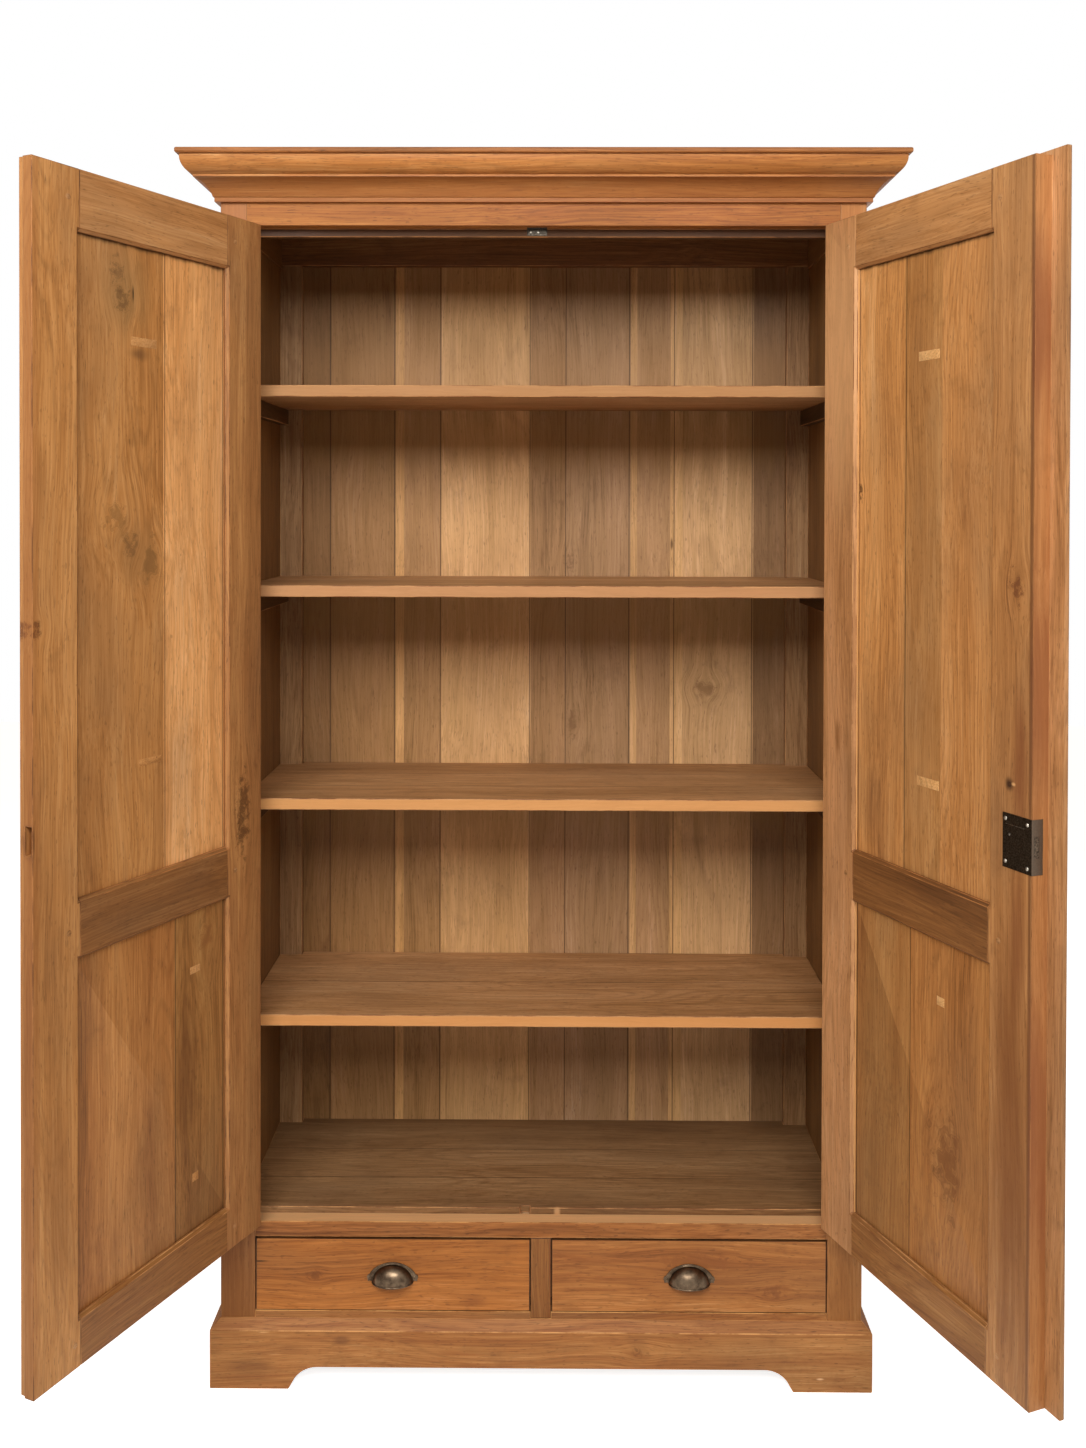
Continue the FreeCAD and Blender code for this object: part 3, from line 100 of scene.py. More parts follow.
# the picture's frame
def place_camera():
    """The photograph was taken from the middle, at eye height, 2.4 metres before the case."""
    lens_pixels, picture_tall, middle_row = 1354.1, 1448, 521.52
    yaw, pitch, roll = -0.0072283, 0.010432, 0.0023554
    stand = (0.018371, -2.825, 1.5754)
    sensor = 36
    ahead = Vector((sin(yaw), cos(yaw), 0))
    right = Vector((cos(yaw), -sin(yaw), 0))
    up = Vector((0, 0, cos(pitch))) + sin(pitch) * ahead
    forward = cos(pitch) * ahead - Vector((0, 0, sin(pitch)))
    side = cos(roll) * right + sin(roll) * up
    top = cos(roll) * up - sin(roll) * right
    data = bpy.data.cameras.new("eye_height")
    data.sensor_width = sensor
    # The picture is taller than it is wide, so the sensor's width lies along its height.
    data.lens = lens_pixels / picture_tall * sensor
    data.shift_y = -(picture_tall / 2 - middle_row) / picture_tall
    camera = bpy.data.objects.new("eye_height", data)
    bpy.context.scene.collection.objects.link(camera)
    aim = Matrix((side, top, -forward)).transposed().to_4x4()
    camera.matrix_world = Matrix.Translation(stand) @ aim
    bpy.context.scene.camera = camera


# colour and nodes
def linear(code):
    """An sRGB hex value as linear red, green, blue and alpha."""
    parts = [int(code[i:i + 2], 16) / 255 for i in (1, 3, 5)]
    return [c / 12.92 if c <= 0.04045 else ((c + 0.055) / 1.055) ** 2.4 for c in parts] + [1.0]


def add(tree, kind, sockets=None, stops=(), **settings):
    """Add a node with its settings, set or link its input sockets by name or number, and give
    a ramp its (place, hex) stops."""
    made = tree.nodes.new(kind)
    for key, value in settings.items():
        setattr(made, key, value)
    for key, value in (sockets or {}).items():
        socket = made.inputs[key]
        if isinstance(value, bpy.types.NodeSocket):
            tree.links.new(value, socket)
        else:
            socket.default_value = value
    if stops:
        ramp = made.color_ramp
        while len(ramp.elements) < len(stops):
            ramp.elements.new(0.5)
        for element, (place, code) in zip(ramp.elements, stops):
            element.position = place
            element.color = linear(code)
    return made


def blank(name):
    """A new material with an empty tree, its output and its Principled shader."""
    material = bpy.data.materials.new(name)
    material.use_nodes = True
    tree = material.node_tree
    tree.nodes.clear()
    skin = add(tree, "ShaderNodeBsdfPrincipled")
    add(tree, "ShaderNodeOutputMaterial", {"Surface": skin.outputs[0]})
    return material, tree, skin


def stain(tree, colour, value, low, high, first, last, code):
    """Lays a stain over a colour: it runs from first to last as the value runs from low to
    high."""
    share = add(tree, "ShaderNodeMapRange", {"Value": value, 1: low, 2: high, 3: first, 4: last},
                interpolation_type="SMOOTHSTEP")
    return add(tree, "ShaderNodeMix", {0: share.outputs[0], 6: colour, 7: linear(code)},
               data_type="RGBA").outputs[2]


def grain_turn(grain, leaf_turn):
    """The Mapping rotation that lays a board along Z with its width along X. grain names the
    axis that it runs along. Its width lies along X, for X along Z, and along Y for Z_SIDE and
    X_FLAT."""
    lay = {
        "Z": Matrix.Identity(3),
        "Z_SIDE": Matrix.Rotation(-pi / 2, 3, "Z"),
        "X": Matrix.Rotation(-pi / 2, 3, "Y"),
        "X_FLAT": Matrix(((0, 1, 0), (0, 0, 1), (1, 0, 0))),
        "Y": Matrix.Rotation(pi / 2, 3, "X"),
    }[grain]
    return (lay @ Matrix.Rotation(-leaf_turn, 3, "Z")).to_euler("XYZ")


# finishes
# Teak's figure, as how many marks lie in a metre across, through and along the board: zones a
# hand wide, streaks of 25 mm, fibres of 3 mm, flecks of 2 by 12 mm and pores of 1 by 30 mm. The
# real pores are 0.3 mm wide, too fine to show, so they are drawn coarser. After its scale each
# has its detail and its own start.
FIGURE = (((8, 8, 0.9), 1, 7.7),
          ((40, 40, 1.1), 2, 5.3),
          ((330, 330, 5), 2, 2.9),
          ((480, 480, 85), 0, 1.3),
          ((900, 900, 34), 0, 1.0))
# Where a wood's four tones lie on the figure, from its darkest streak to its palest.
TONE_PLACES = (0.2, 0.42, 0.6, 0.85)
# The dark parts of the figure: late growth, flecks, pores, grime and the joints of boards.
LATE_WOOD = "#5d3618"
FLECK = "#4a2a14"
PORE = "#2c170b"
GRIME = "#4a2b15"
JOINT = "#331c0e"
# The boards' tints are laid over 1.1 m, which is wider than the back, and the grain drifts by up
# to 3 cm each way.
STRIPS_SPAN = 1.1
GRAIN_DRIFT = 0.06
# Grain flows round a knot from three times its size, and most at its middle. Three of its rings
# lie in its radius.
KNOT_REACH = 0.31
KNOT_PUSH = -0.85
KNOT_TURNS = 21.0
# Wax and oil bend light this much, and on old wood they shine less than a clean film would.
WOOD_IOR = 1.46
WAX_GLOSS = 0.3


def lie_along(tree, coords, grain, leaf):
    """The board's own lines: its width along X and its length along Z, as it was cut."""
    turn = grain_turn(grain, LEAF_OPEN[leaf] if leaf else 0.0)
    shift = Vector((0, 0, 0))
    if leaf:
        shift = -(turn.to_matrix() @ Vector((leaf * LEAF_AXIS[0], LEAF_AXIS[1], 0)))
    return add(tree, "ShaderNodeMapping", {"Vector": coords.outputs["Object"], "Rotation": turn,
                                           "Location": shift}).outputs[0]


def board_strips(tree, across, boards):
    """The tint of each board of a wide part, by where it lies across it."""
    low = boards[0][0]
    share = add(tree, "ShaderNodeMapRange", {"Value": across, 1: low, 2: low + STRIPS_SPAN})
    strips = add(tree, "ShaderNodeValToRGB", {"Fac": share.outputs[0]},
                 [((edge - low) / STRIPS_SPAN, tint) for edge, tint in boards])
    strips.color_ramp.interpolation = "CONSTANT"
    return strips.outputs[0]


def wandering_fibre(tree, board, strip, seed):
    """The grain's lines: they wander by a few centimetres over the length of a board, and each
    board of a wide part has its own."""
    bend = add(tree, "ShaderNodeTexNoise", {"Vector": add(tree, "ShaderNodeMapping", {
        "Vector": board, "Location": (seed * 1.7, seed * 0.9, seed * 2.3), "Scale": (4.5, 4.5, 1.8)
    }).outputs[0], "Scale": 1.0, "Detail": 2.0})
    sway = add(tree, "ShaderNodeVectorMath", {0: bend.outputs["Color"], 1: (0.5, 0.5, 0.5)},
               operation="SUBTRACT")
    fibre = add(tree, "ShaderNodeVectorMath", {0: sway.outputs[0], 1: (GRAIN_DRIFT, GRAIN_DRIFT, 0.0),
                                               2: board}, operation="MULTIPLY_ADD").outputs[0]
    if strip:
        fibre = add(tree, "ShaderNodeVectorMath", {0: strip, 1: (7.0, 5.0, 9.0), 2: fibre},
                    operation="MULTIPLY_ADD").outputs[0]
    return fibre


def flow_round_knots(tree, board, fibre, marks, knots):
    """Pushes the fibres out beside each knot, because grain flows round it. Gives them, and the
    place of each mark and knot seen from its own middle."""
    spots = [add(tree, "ShaderNodeVectorMath", {0: board, 1: (across_at, 0, along_at)},
                 operation="SUBTRACT").outputs[0] for across_at, along_at, *_ in (*marks, *knots)]
    for place, (_, _, wide, long, _, _) in enumerate(knots, len(marks)):
        near = add(tree, "ShaderNodeVectorMath", {0: spots[place], 1: (KNOT_REACH / wide, 0,
                                                                       KNOT_REACH / long)},
                   operation="MULTIPLY")
        reach = add(tree, "ShaderNodeVectorMath", {0: near.outputs[0]}, operation="LENGTH")
        fade = add(tree, "ShaderNodeMapRange", {"Value": reach.outputs["Value"], 1: 0.0, 2: 1.0,
                                                3: KNOT_PUSH, 4: 0.0}, interpolation_type="SMOOTHSTEP")
        push = add(tree, "ShaderNodeVectorMath", {0: spots[place], "Scale": fade.outputs[0]},
                   operation="SCALE")
        fibre = add(tree, "ShaderNodeVectorMath", {0: push.outputs[0], 1: (1, 0, 0), 2: fibre},
                    operation="MULTIPLY_ADD").outputs[0]
        # Its own rings are never round, so they are pushed about by the knot's size.
        tangle = add(tree, "ShaderNodeTexNoise", {"Vector": board, "Scale": 1.1 / wide, "Detail": 2.0})
        loose = add(tree, "ShaderNodeVectorMath", {0: tangle.outputs["Color"], 1: (0.5, 0.5, 0.5)},
                    operation="SUBTRACT")
        spots[place] = add(tree, "ShaderNodeVectorMath", {0: loose.outputs[0], 1: (
            3.2 * wide, 0, 3.2 * long), 2: spots[place]}, operation="MULTIPLY_ADD").outputs[0]
    return fibre, spots


def paint_spots(tree, colour, broad, spots, marks, knots):
    """Lays each mark over the colour with a ragged rim, and each knot with its rings too."""
    for place, (_, _, wide, long, code, strength) in enumerate((*marks, *knots)):
        shape = add(tree, "ShaderNodeVectorMath", {0: spots[place], 1: (1 / wide, 0, 1 / long)},
                    operation="MULTIPLY")
        reach = add(tree, "ShaderNodeVectorMath", {0: shape.outputs[0]}, operation="LENGTH")
        ragged = add(tree, "ShaderNodeMath", {0: broad, 1: 1.4, 2: reach.outputs["Value"]},
                     operation="MULTIPLY_ADD").outputs[0]
        if place >= len(marks):
            turns = add(tree, "ShaderNodeMath", {0: ragged, 1: KNOT_TURNS}, operation="MULTIPLY")
            wavy = add(tree, "ShaderNodeMath", {0: turns.outputs[0]}, operation="SINE")
            ragged = add(tree, "ShaderNodeMath", {0: wavy.outputs[0], 1: 0.2, 2: ragged},
                         operation="MULTIPLY_ADD").outputs[0]
        colour = stain(tree, colour, ragged, 0.9, 1.9, strength, 0.0, code)
    return colour


def teak(name, grain, tones, seed, leaf=None, rings=8.0, patina="#6b5038", patina_share=0.3,
         boards=(), seams=(), knots=(), marks=(), gloss=0.52, smudge=0.2, wear_and_shade=(), contrast=1.0,
         outer=None):
    """Old teak, sawn, planed and waxed, then worn. The eye sees a half matt brown of low
    contrast: soft streaks along the board, growth lines that arch where the cut is flat, short
    dark flecks and pores, and greyer patches where hands and damp have been.

    tones runs from the darkest streak to the palest, and rings is about the widest gap between growth
    lines, in millimetres. boards lists (edge, tint) strips across the width, and seams the joints between
    boards. knots and marks are (across, along, wide, long, hex, strength): knots and most marks are stains,
    and some marks are painted shade. The list of edges has edges of another tone, rubbed or painted shade,
    as (from, softness, hex, strength), where a negative softness colours what lies before. outer is the
    tone of a piece's outer face, as (axis, from, softness, hex, strength), by the distance from the origin
    along that axis."""
    material, tree, skin = blank(name)
    coords = add(tree, "ShaderNodeTexCoord")
    board = lie_along(tree, coords, grain, leaf)
    across = add(tree, "ShaderNodeSeparateXYZ", {"Vector": board}).outputs[0]
    strip = board_strips(tree, across, boards) if boards else None
    fibre = wandering_fibre(tree, board, strip, seed)
    fibre, spots = flow_round_knots(tree, board, fibre, marks, knots)
    layers = []
    for scale, detail, start in FIGURE:
        place = add(tree, "ShaderNodeMapping", {"Vector": fibre, "Scale": scale,
                                                "Location": (seed * start, seed * 3.1, seed)})
        layers.append(add(tree, "ShaderNodeTexNoise", {
            "Vector": place.outputs[0], "Scale": 1.0, "Detail": detail, "Roughness": 0.55}).outputs[0])
    zone, broad, fine, fleck, pore = layers
    weights = ((zone, 0.6), (broad, 0.42), (fine, 0.65))
    tone = 0.5 - 0.5 * contrast * sum(weight for source, weight in weights)
    for source, weight in weights:
        tone = add(tree, "ShaderNodeMath", {0: source, 1: weight * contrast, 2: tone},
                   operation="MULTIPLY_ADD").outputs[0]
    colour = add(tree, "ShaderNodeValToRGB", {"Fac": tone}, list(zip(TONE_PLACES, tones))).outputs[0]
    if strip:
        # A tint of middle grey leaves the colour as it is.
        tinted = add(tree, "ShaderNodeMix", {0: 1.0, 6: colour, 7: strip}, data_type="RGBA",
                     blend_type="MULTIPLY")
        colour = add(tree, "ShaderNodeVectorMath", {0: tinted.outputs[2], "Scale": 2.0},
                     operation="SCALE").outputs[0]
    # The patina lies in clouds of 15 cm across and 45 cm along the board.
    cloud = add(tree, "ShaderNodeTexNoise", {"Vector": add(tree, "ShaderNodeMapping", {
        "Vector": board, "Location": (seed, seed * 2.0, seed * 4.0), "Scale": (6.0, 6.0, 2.2)
    }).outputs[0], "Scale": 1.0, "Detail": 3.0, "Roughness": 0.6}).outputs[0]
    colour = stain(tree, colour, cloud, 0.42, 0.72, 0.0, patina_share, patina)
    # Growth lines follow the contours of the slow zones, so flat-sawn parts show long arches,
    # and they fade where the patina lies.
    phase = add(tree, "ShaderNodeMath", {0: broad, 1: 4.0}, operation="MULTIPLY")
    phase = add(tree, "ShaderNodeMath", {0: zone, 1: 1400.0 / rings, 2: phase.outputs[0]},
                operation="MULTIPLY_ADD")
    growth = add(tree, "ShaderNodeMath", {0: phase.outputs[0]}, operation="SINE")
    late = add(tree, "ShaderNodeMath", {0: cloud, 1: 3.0, 2: growth.outputs[0]},
               operation="MULTIPLY_ADD").outputs[0]
    colour = stain(tree, colour, late, -0.1, 1.2, 0.24 * contrast, 0.0, LATE_WOOD)
    colour = stain(tree, colour, fleck, 0.70, 0.80, 0.0, 0.36 * contrast, FLECK)
    colour = stain(tree, colour, pore, 0.20, 0.36, 0.34 * contrast, 0.0, PORE)
    # Grime sits in spots of 7 cm and less.
    grime = add(tree, "ShaderNodeTexNoise", {"Vector": board, "Scale": 15.0, "Detail": 4.0,
                                             "Roughness": 0.72}).outputs[0]
    colour = stain(tree, colour, grime, 0.56, 0.76, 0.0, smudge, GRIME)
    colour = paint_spots(tree, colour, broad, spots, marks, knots)
    for seam in seams:
        gap = add(tree, "ShaderNodeMath", {0: across, 1: seam}, operation="SUBTRACT")
        off = add(tree, "ShaderNodeMath", {0: gap.outputs[0]}, operation="ABSOLUTE").outputs[0]
        colour = stain(tree, colour, off, 0.3 * MM, 1.6 * MM, 0.75, 0.0, JOINT)
    for edge, soft, code, strength in wear_and_shade:
        colour = stain(tree, colour, across, edge - soft, edge + soft, 0.0, strength, code)
    if outer:
        axis, edge, soft, code, strength = outer
        aside = add(tree, "ShaderNodeSeparateXYZ", {"Vector": coords.outputs["Object"]}).outputs[axis]
        far = add(tree, "ShaderNodeMath", {0: aside}, operation="ABSOLUTE").outputs[0]
        colour = stain(tree, colour, far, edge - soft, edge + soft, 0.0, strength, code)
    tree.links.new(colour, skin.inputs["Base Color"])
    # Wax shines more where it is clean and less under the patina.
    sheen = add(tree, "ShaderNodeMapRange", {"Value": cloud, 1: 0.3, 2: 0.75, 3: gloss - 0.05,
                                             4: gloss + 0.16})
    tree.links.new(sheen.outputs[0], skin.inputs["Roughness"])
    bump = add(tree, "ShaderNodeBump", {"Height": fine, "Strength": 0.25, "Distance": 0.4 * MM})
    tree.links.new(bump.outputs[0], skin.inputs["Normal"])
    skin.inputs["IOR"].default_value = WOOD_IOR
    skin.inputs["Specular IOR Level"].default_value = WAX_GLOSS
    return material


def rubbed_teak(name, pale, dark):
    """Teak edges rubbed bare of their wax, pale with short darker stretches left between, which
    change every 70 mm and less."""
    material, tree, skin = blank(name)
    coords = add(tree, "ShaderNodeTexCoord")
    rubbed = add(tree, "ShaderNodeTexNoise", {"Vector": coords.outputs["Object"], "Scale": 14.0,
                                              "Detail": 5.0, "Roughness": 0.65})
    tone = add(tree, "ShaderNodeValToRGB", {"Fac": rubbed.outputs[0]}, [(0.40, dark), (0.58, pale)])
    tree.links.new(tone.outputs[0], skin.inputs["Base Color"])
    skin.inputs["Roughness"].default_value = 0.5
    skin.inputs["IOR"].default_value = WOOD_IOR
    skin.inputs["Specular IOR Level"].default_value = WAX_GLOSS
    return material


def old_metal(name, dark, bright, rough, mottle, relief=0.2, bare=None):
    """Old cast or forged metal: a dark skin rubbed brighter where it is handled, mottled at so
    many millimetres, with a slightly uneven surface. bare is the way that its rubbed faces look
    and their hex."""
    material, tree, skin = blank(name)
    coords = add(tree, "ShaderNodeTexCoord")
    spots = add(tree, "ShaderNodeTexNoise", {"Vector": coords.outputs["Object"],
                                             "Scale": 1.0 / (mottle * MM), "Detail": 4.0, "Roughness": 0.6})
    colour = add(tree, "ShaderNodeValToRGB", {"Fac": spots.outputs[0]},
                 [(0.38, dark), (0.66, bright)]).outputs[0]
    if bare:
        toward = add(tree, "ShaderNodeVectorMath", {0: coords.outputs["Normal"], 1: bare[0]},
                     operation="DOT_PRODUCT")
        colour = stain(tree, colour, toward.outputs["Value"], 0.6, 0.9, 0.0, 0.8, bare[1])
    tree.links.new(colour, skin.inputs["Base Color"])
    skin.inputs["Metallic"].default_value = 1.0
    gloss = add(tree, "ShaderNodeMapRange", {"Value": spots.outputs[0], 1: 0.35, 2: 0.7,
                                             3: rough + 0.08, 4: rough - 0.05})
    tree.links.new(gloss.outputs[0], skin.inputs["Roughness"])
    bump = add(tree, "ShaderNodeBump", {"Height": spots.outputs[0], "Strength": relief,
                                        "Distance": 0.2 * MM})
    tree.links.new(bump.outputs[0], skin.inputs["Normal"])
    return material


def seen_directly(tree):
    """One where the camera, a shiny surface or a clear one looks, and nothing for other light."""
    path = add(tree, "ShaderNodeLightPath")
    seen = add(tree, "ShaderNodeMath", {0: path.outputs["Is Camera Ray"],
                                        1: path.outputs["Is Glossy Ray"]}, operation="MAXIMUM")
    return add(tree, "ShaderNodeMath", {0: seen.outputs[0], 1: path.outputs["Is Transmission Ray"]},
               operation="MAXIMUM").outputs[0]


def pale_floor():
    """A plain pale studio floor that shows white and keeps a soft shadow."""
    material, tree, skin = blank("pale_studio_floor")
    skin.inputs["Base Color"].default_value = linear("#f4f4f4")
    skin.inputs["Roughness"].default_value = 0.9
    lift = add(tree, "ShaderNodeMath", {0: seen_directly(tree), 1: 0.85}, operation="MULTIPLY")
    skin.inputs["Emission Color"].default_value = linear("#ffffff")
    tree.links.new(lift.outputs[0], skin.inputs["Emission Strength"])
    return material


# Teak's tones run from the darkest streak to the palest. The case's outside is a warm red brown
# under old wax, and the slim post between the drawers is darker from hands.
OUTSIDE = ("#74401b", "#985c2c", "#ae7039", "#cb9157")
FRIEZE = ("#743f18", "#985822", "#ae6d2f", "#cb8f4c")
DRAWER = ("#79441d", "#9d612f", "#b3753d", "#d0965c")
LEFT_POST = ("#5d3214", "#7d4a24", "#905c30", "#ae794a")
RIGHT_POST = ("#7c4a24", "#9f6836", "#b57c46", "#d19c64")
PLINTH = ("#774520", "#9c6232", "#b27943", "#cf9b61")
WARM = ("#7a4218", "#a36229", "#b87437", "#d3925a")
RAIL = ("#6f3d17", "#945a29", "#ab6d39", "#c78d55")
SLIM_POST = ("#4f2c0d", "#79451c", "#8d5929", "#a87443")
CORNICE = ("#7b451b", "#a96932", "#be7d40", "#d9a063")
# Inside the case the wood never saw wax: the back is greyer and yellower, and the floor and the
# sides are darker.
INSIDE = ("#74522c", "#a57e4f", "#b78d5e", "#d0ab80")
FLOOR = ("#654627", "#89633e", "#9e7850", "#b8946c")
SIDE = ("#563a1e", "#744f27", "#845d33", "#9d7a4b")
# The doors' inner sides are pale and golden, and their mid and bottom rails browner.
DOOR_STILE = ("#70441f", "#a16c3d", "#b8834d", "#d0a069")
DOOR_PANEL = ("#8d592c", "#b87f46", "#cb945a", "#e0b07b")
DOOR_RIGHT = ("#83522a", "#ad7744", "#c08a55", "#d6a672")
DOOR_FAIR = ("#885830", "#b37e4e", "#c79060", "#dcad7c")
DOOR_DULL = ("#74481f", "#a66f3c", "#ba844c", "#d4a168")
DOOR_FOOT = ("#623a1a", "#87572c", "#9c6b3a", "#b98a55")
DOOR_RAIL = ("#4b2c13", "#704724", "#87592f", "#a37447")
# Shelves are rubbed even and hidden parts are dull. The near black below is painted shade, laid where a
# gap, a recess or an underside lies in shadow.
SHELF = ("#76502a", "#a37447", "#b8885a", "#d0a676")
DULL = ("#4a2c13", "#6e4524", "#85572f", "#a07145")
GAP_SHADE = "#2a180b"
# Drawer boxes and runners are teak left bare: pale, dry and even.
PLAIN = ("#8f6a45", "#b9925f", "#cba877", "#dcc094")
# The finishes that many pieces share.
FINISH = {}


# what marks the doors, along the closed leaf from its pins and above the floor, in metres
# Painted shade: a dark band on a panel close under its top rail, where the rail shades it.
SHADE_UNDER_TOP_RAIL = (1.987, 2.0, 0.010, "#2c1a0c", 0.85)
# Knots, brown and a few centimetres long.
DOOR_KNOTS = {
    "left_door_upper_panel": ((0.350, 1.937, 0.014, 0.022, "#6b4c2c", 0.6),
                              (0.336, 1.896, 0.018, 0.018, "#644626", 0.7),
                              (0.346, 1.556, 0.026, 0.036, "#94683a", 0.8),
                              (0.319, 1.512, 0.016, 0.020, "#76522f", 0.7),
                              (0.272, 1.484, 0.022, 0.030, "#7e5931", 0.7)),
    "left_door_lower_panel": ((0.141, 0.861, 0.020, 0.040, "#8a5a30", 0.8),),
    "left_door_hinge_stile": ((0.055, 1.035, 0.018, 0.060, "#5e3b1e", 0.9),),
    "left_door_meeting_stile": ((0.520, 1.400, 0.012, 0.014, "#5a341a", 0.9),),
    "right_door_upper_panel": ((-0.098, 1.606, 0.008, 0.014, "#5b381a", 0.9),),
    "right_door_lower_panel": ((-0.330, 0.560, 0.030, 0.060, "#7a4c26", 0.8),),
    "right_door_meeting_stile": ((-0.495, 1.459, 0.014, 0.022, "#6d4022", 0.9),),
}
# Scuffs, a scratch, hand marks near the lock, the plugged hole's rim, paler stretches, and painted shade
# under the top rails.
DOOR_MARKS = {
    "left_door_upper_panel": ((0.264, *SHADE_UNDER_TOP_RAIL),
                              (0.325, 1.905, 0.055, 0.075, "#8a6a40", 0.45),
                              (0.302, 1.815, 0.024, 0.013, "#6b4829", 0.7),
                              (0.312, 1.909, 0.0028, 0.019, "#33200f", 0.9),
                              (0.310, 1.500, 0.060, 0.060, "#8c653c", 0.45),
                              (0.098, 1.500, 0.010, 0.360, "#9c6431", 0.45)),
    "left_door_lower_panel": ((0.190, 0.620, 0.035, 0.150, "#6e4524", 0.55),),
    "left_door_meeting_stile": ((0.480, 0.560, 0.030, 0.200, "#8a5a30", 0.4),
                                (0.527, 1.094, 0.004, 0.028, "#3d2413", 0.85)),
    "right_door_upper_panel": ((-0.264, *SHADE_UNDER_TOP_RAIL),
                               (-0.300, 1.250, 0.040, 0.120, "#8f6034", 0.35)),
    "right_door_meeting_stile": ((-0.5225, 1.180, 0.0045, 3.0, "#5c331a", 0.7),
                                 (-0.503, 1.210, 0.018, 0.140, "#7a4524", 0.7),
                                 (-0.500, 0.960, 0.020, 0.130, "#7a4524", 0.6),
                                 (-PLUG_ALONG * MM, PLUG_LEVEL * MM, 0.010, 0.011, "#3d2412", 0.9),
                                 (-0.4885, 1.1795, 0.0045, 0.003, "#d9a56e", 0.9),
                                 (-0.480, 0.600, 0.060, 0.420, "#75441f", 0.75),
                                 (-0.527, 1.850, 0.006, 0.140, "#6a3a26", 0.7),
                                 (-0.527, 1.320, 0.005, 0.200, "#6a3a26", 0.6),
                                 (-0.527, 0.700, 0.005, 0.240, "#7a4630", 0.6)),
    "right_door_hinge_stile": ((-0.045, 1.180, 0.012, 0.040, "#7a4c26", 0.6),
                               (-0.050, 1.850, 0.120, 0.300, "#d9a672", 0.5)),
}
# Edges that hands have changed, and painted shade: dark lines in the gaps round the panels and, below, on
# the rails' undersides.
DOOR_EDGES = {
    "left_door_meeting_stile": ((0.515, 2.5 * MM, "#96592c", 0.3),
                                (FREE_EDGE, 0.4 * MM, "#7a4319", 0.4),
                                (MEETING_STILE_EDGE, -0.5 * MM, "#4a2a14", 0.6)),
    "right_door_meeting_stile": ((-FREE_EDGE, -0.4 * MM, "#b06a3a", 0.3),
                                 (-MEETING_STILE_EDGE, 0.5 * MM, "#4a2a14", 0.6)),
    "left_door_hinge_stile": ((0.040, -12 * MM, "#6b4424", 0.3),
                              (HINGE_STILE_EDGE, 0.3 * MM, "#7a4d28", 0.8)),
    "right_door_hinge_stile": ((-HINGE_STILE_EDGE, -0.3 * MM, "#e0a869", 0.7),),
}
# Painted shade: each door rail's underside is darkened, as it lies in shadow.
DOOR_EDGES.update({f"{word}_door_{part}": ((-level - 0.2 * MM, 0.2 * MM, GAP_SHADE, 0.85),)
                   for side, word in SIDES for part, level in RAIL_UNDERSIDES.items()})
# The panels are glued up from boards, which meet at the seams. Each is a little different, and
# one is two-toned.
PANEL_BOARDS = {
    "left_door_upper_panel": ((0.05, "#d8dbe3"), (0.2405, "#b6b4b0")),
    "left_door_lower_panel": ((0.05, "#b0b4b2"), (0.2155, "#bab5b0")),
    "right_door_upper_panel": ((-0.45, "#bcbabb"), (-0.313, "#adadac"), (-0.222, "#c6c6c6")),
    "right_door_lower_panel": ((-0.45, "#c0bdb8"), (-0.240, "#b7b8b6")),
}
PANEL_SEAMS = {node: (seam, *[side * end for end in PANEL_SIDES]) for node, seam, side in (
    ("left_door_upper_panel", 0.240, 1), ("left_door_lower_panel", 0.215, 1),
    ("right_door_upper_panel", -0.222, -1), ("right_door_lower_panel", -0.240, -1))}


def metals_and_rubbed_edges():
    """The metals of the fittings, and the woods of rubbed and handled edges."""
    # The arrises catch the eye as thin lines: pale on the outside, duller inside, brown where hands take
    # hold, and near black round the drawers, both grime and painted shade of the gaps there.
    FINISH["pale"] = rubbed_teak("teak_rubbed_arris", "#d39a5c", "#965d2b")
    FINISH["inner_pale"] = rubbed_teak("teak_rubbed_inner_arris", "#bf8c5a", "#80522e")
    FINISH["brown"] = rubbed_teak("teak_handled_arris", "#a8703f", "#6a4222")
    FINISH["grimy_gap_shade"] = rubbed_teak("teak_grimy_gap_shaded_arris", "#5d381b", "#2f1a0c")
    # Forged iron is brown-black and matt, with a grey edge where keys and hands rub it. Cast bronze is
    # brown, smooth and softly shiny. Old steel is grey and dull, and bright only on the heads that a driver
    # has turned. The catch's steel is darker still as painted shade, for it hangs in the shadow under the
    # frieze.
    FINISH.update(
        iron=old_metal("forged_black_iron", "#272119", "#4a4034", 0.5, 2.5,
                       bare=(leaf_place(RIGHT).to_3x3() @ Vector((1, 0, 0)), "#75685a")),
        bronze=old_metal("cast_antique_bronze", "#493b2e", "#6d5b48", 0.33, 12.0, 0.08),
        steel=old_metal("aged_steel", "#4b453d", "#857b6c", 0.42, 3.0),
        dull=old_metal("aged_steel_in_painted_shade", "#322d27", "#5d554b", 0.5, 3.0),
        bright=old_metal("worn_bright_steel", "#877f73", "#bdb5a6", 0.38, 1.5))


def wood(node, material, arris="pale", width=1.2):
    """Gives a wooden solid its material, and rubs its arrises over so many millimetres."""
    piece = NODES[node]
    piece.data.materials.clear()
    piece.data.materials.append(material)
    piece.data.materials.append(FINISH[arris])
    weld = piece.modifiers.new("joined", "WELD")
    # The solid's triangles come loose, so they are joined before the arrises are rubbed.
    weld.merge_threshold = 0.02 * MM
    bevel = piece.modifiers.new("rubbed_arris", "BEVEL")
    bevel.width = width * MM
    bevel.segments = 2
    bevel.limit_method = "ANGLE"
    bevel.angle_limit = SHARP
    bevel.material = 1


def far_side(node, axis):
    """The furthest that a solid reaches along an axis."""
    return max(corner[axis] for corner in NODES[node].bound_box)


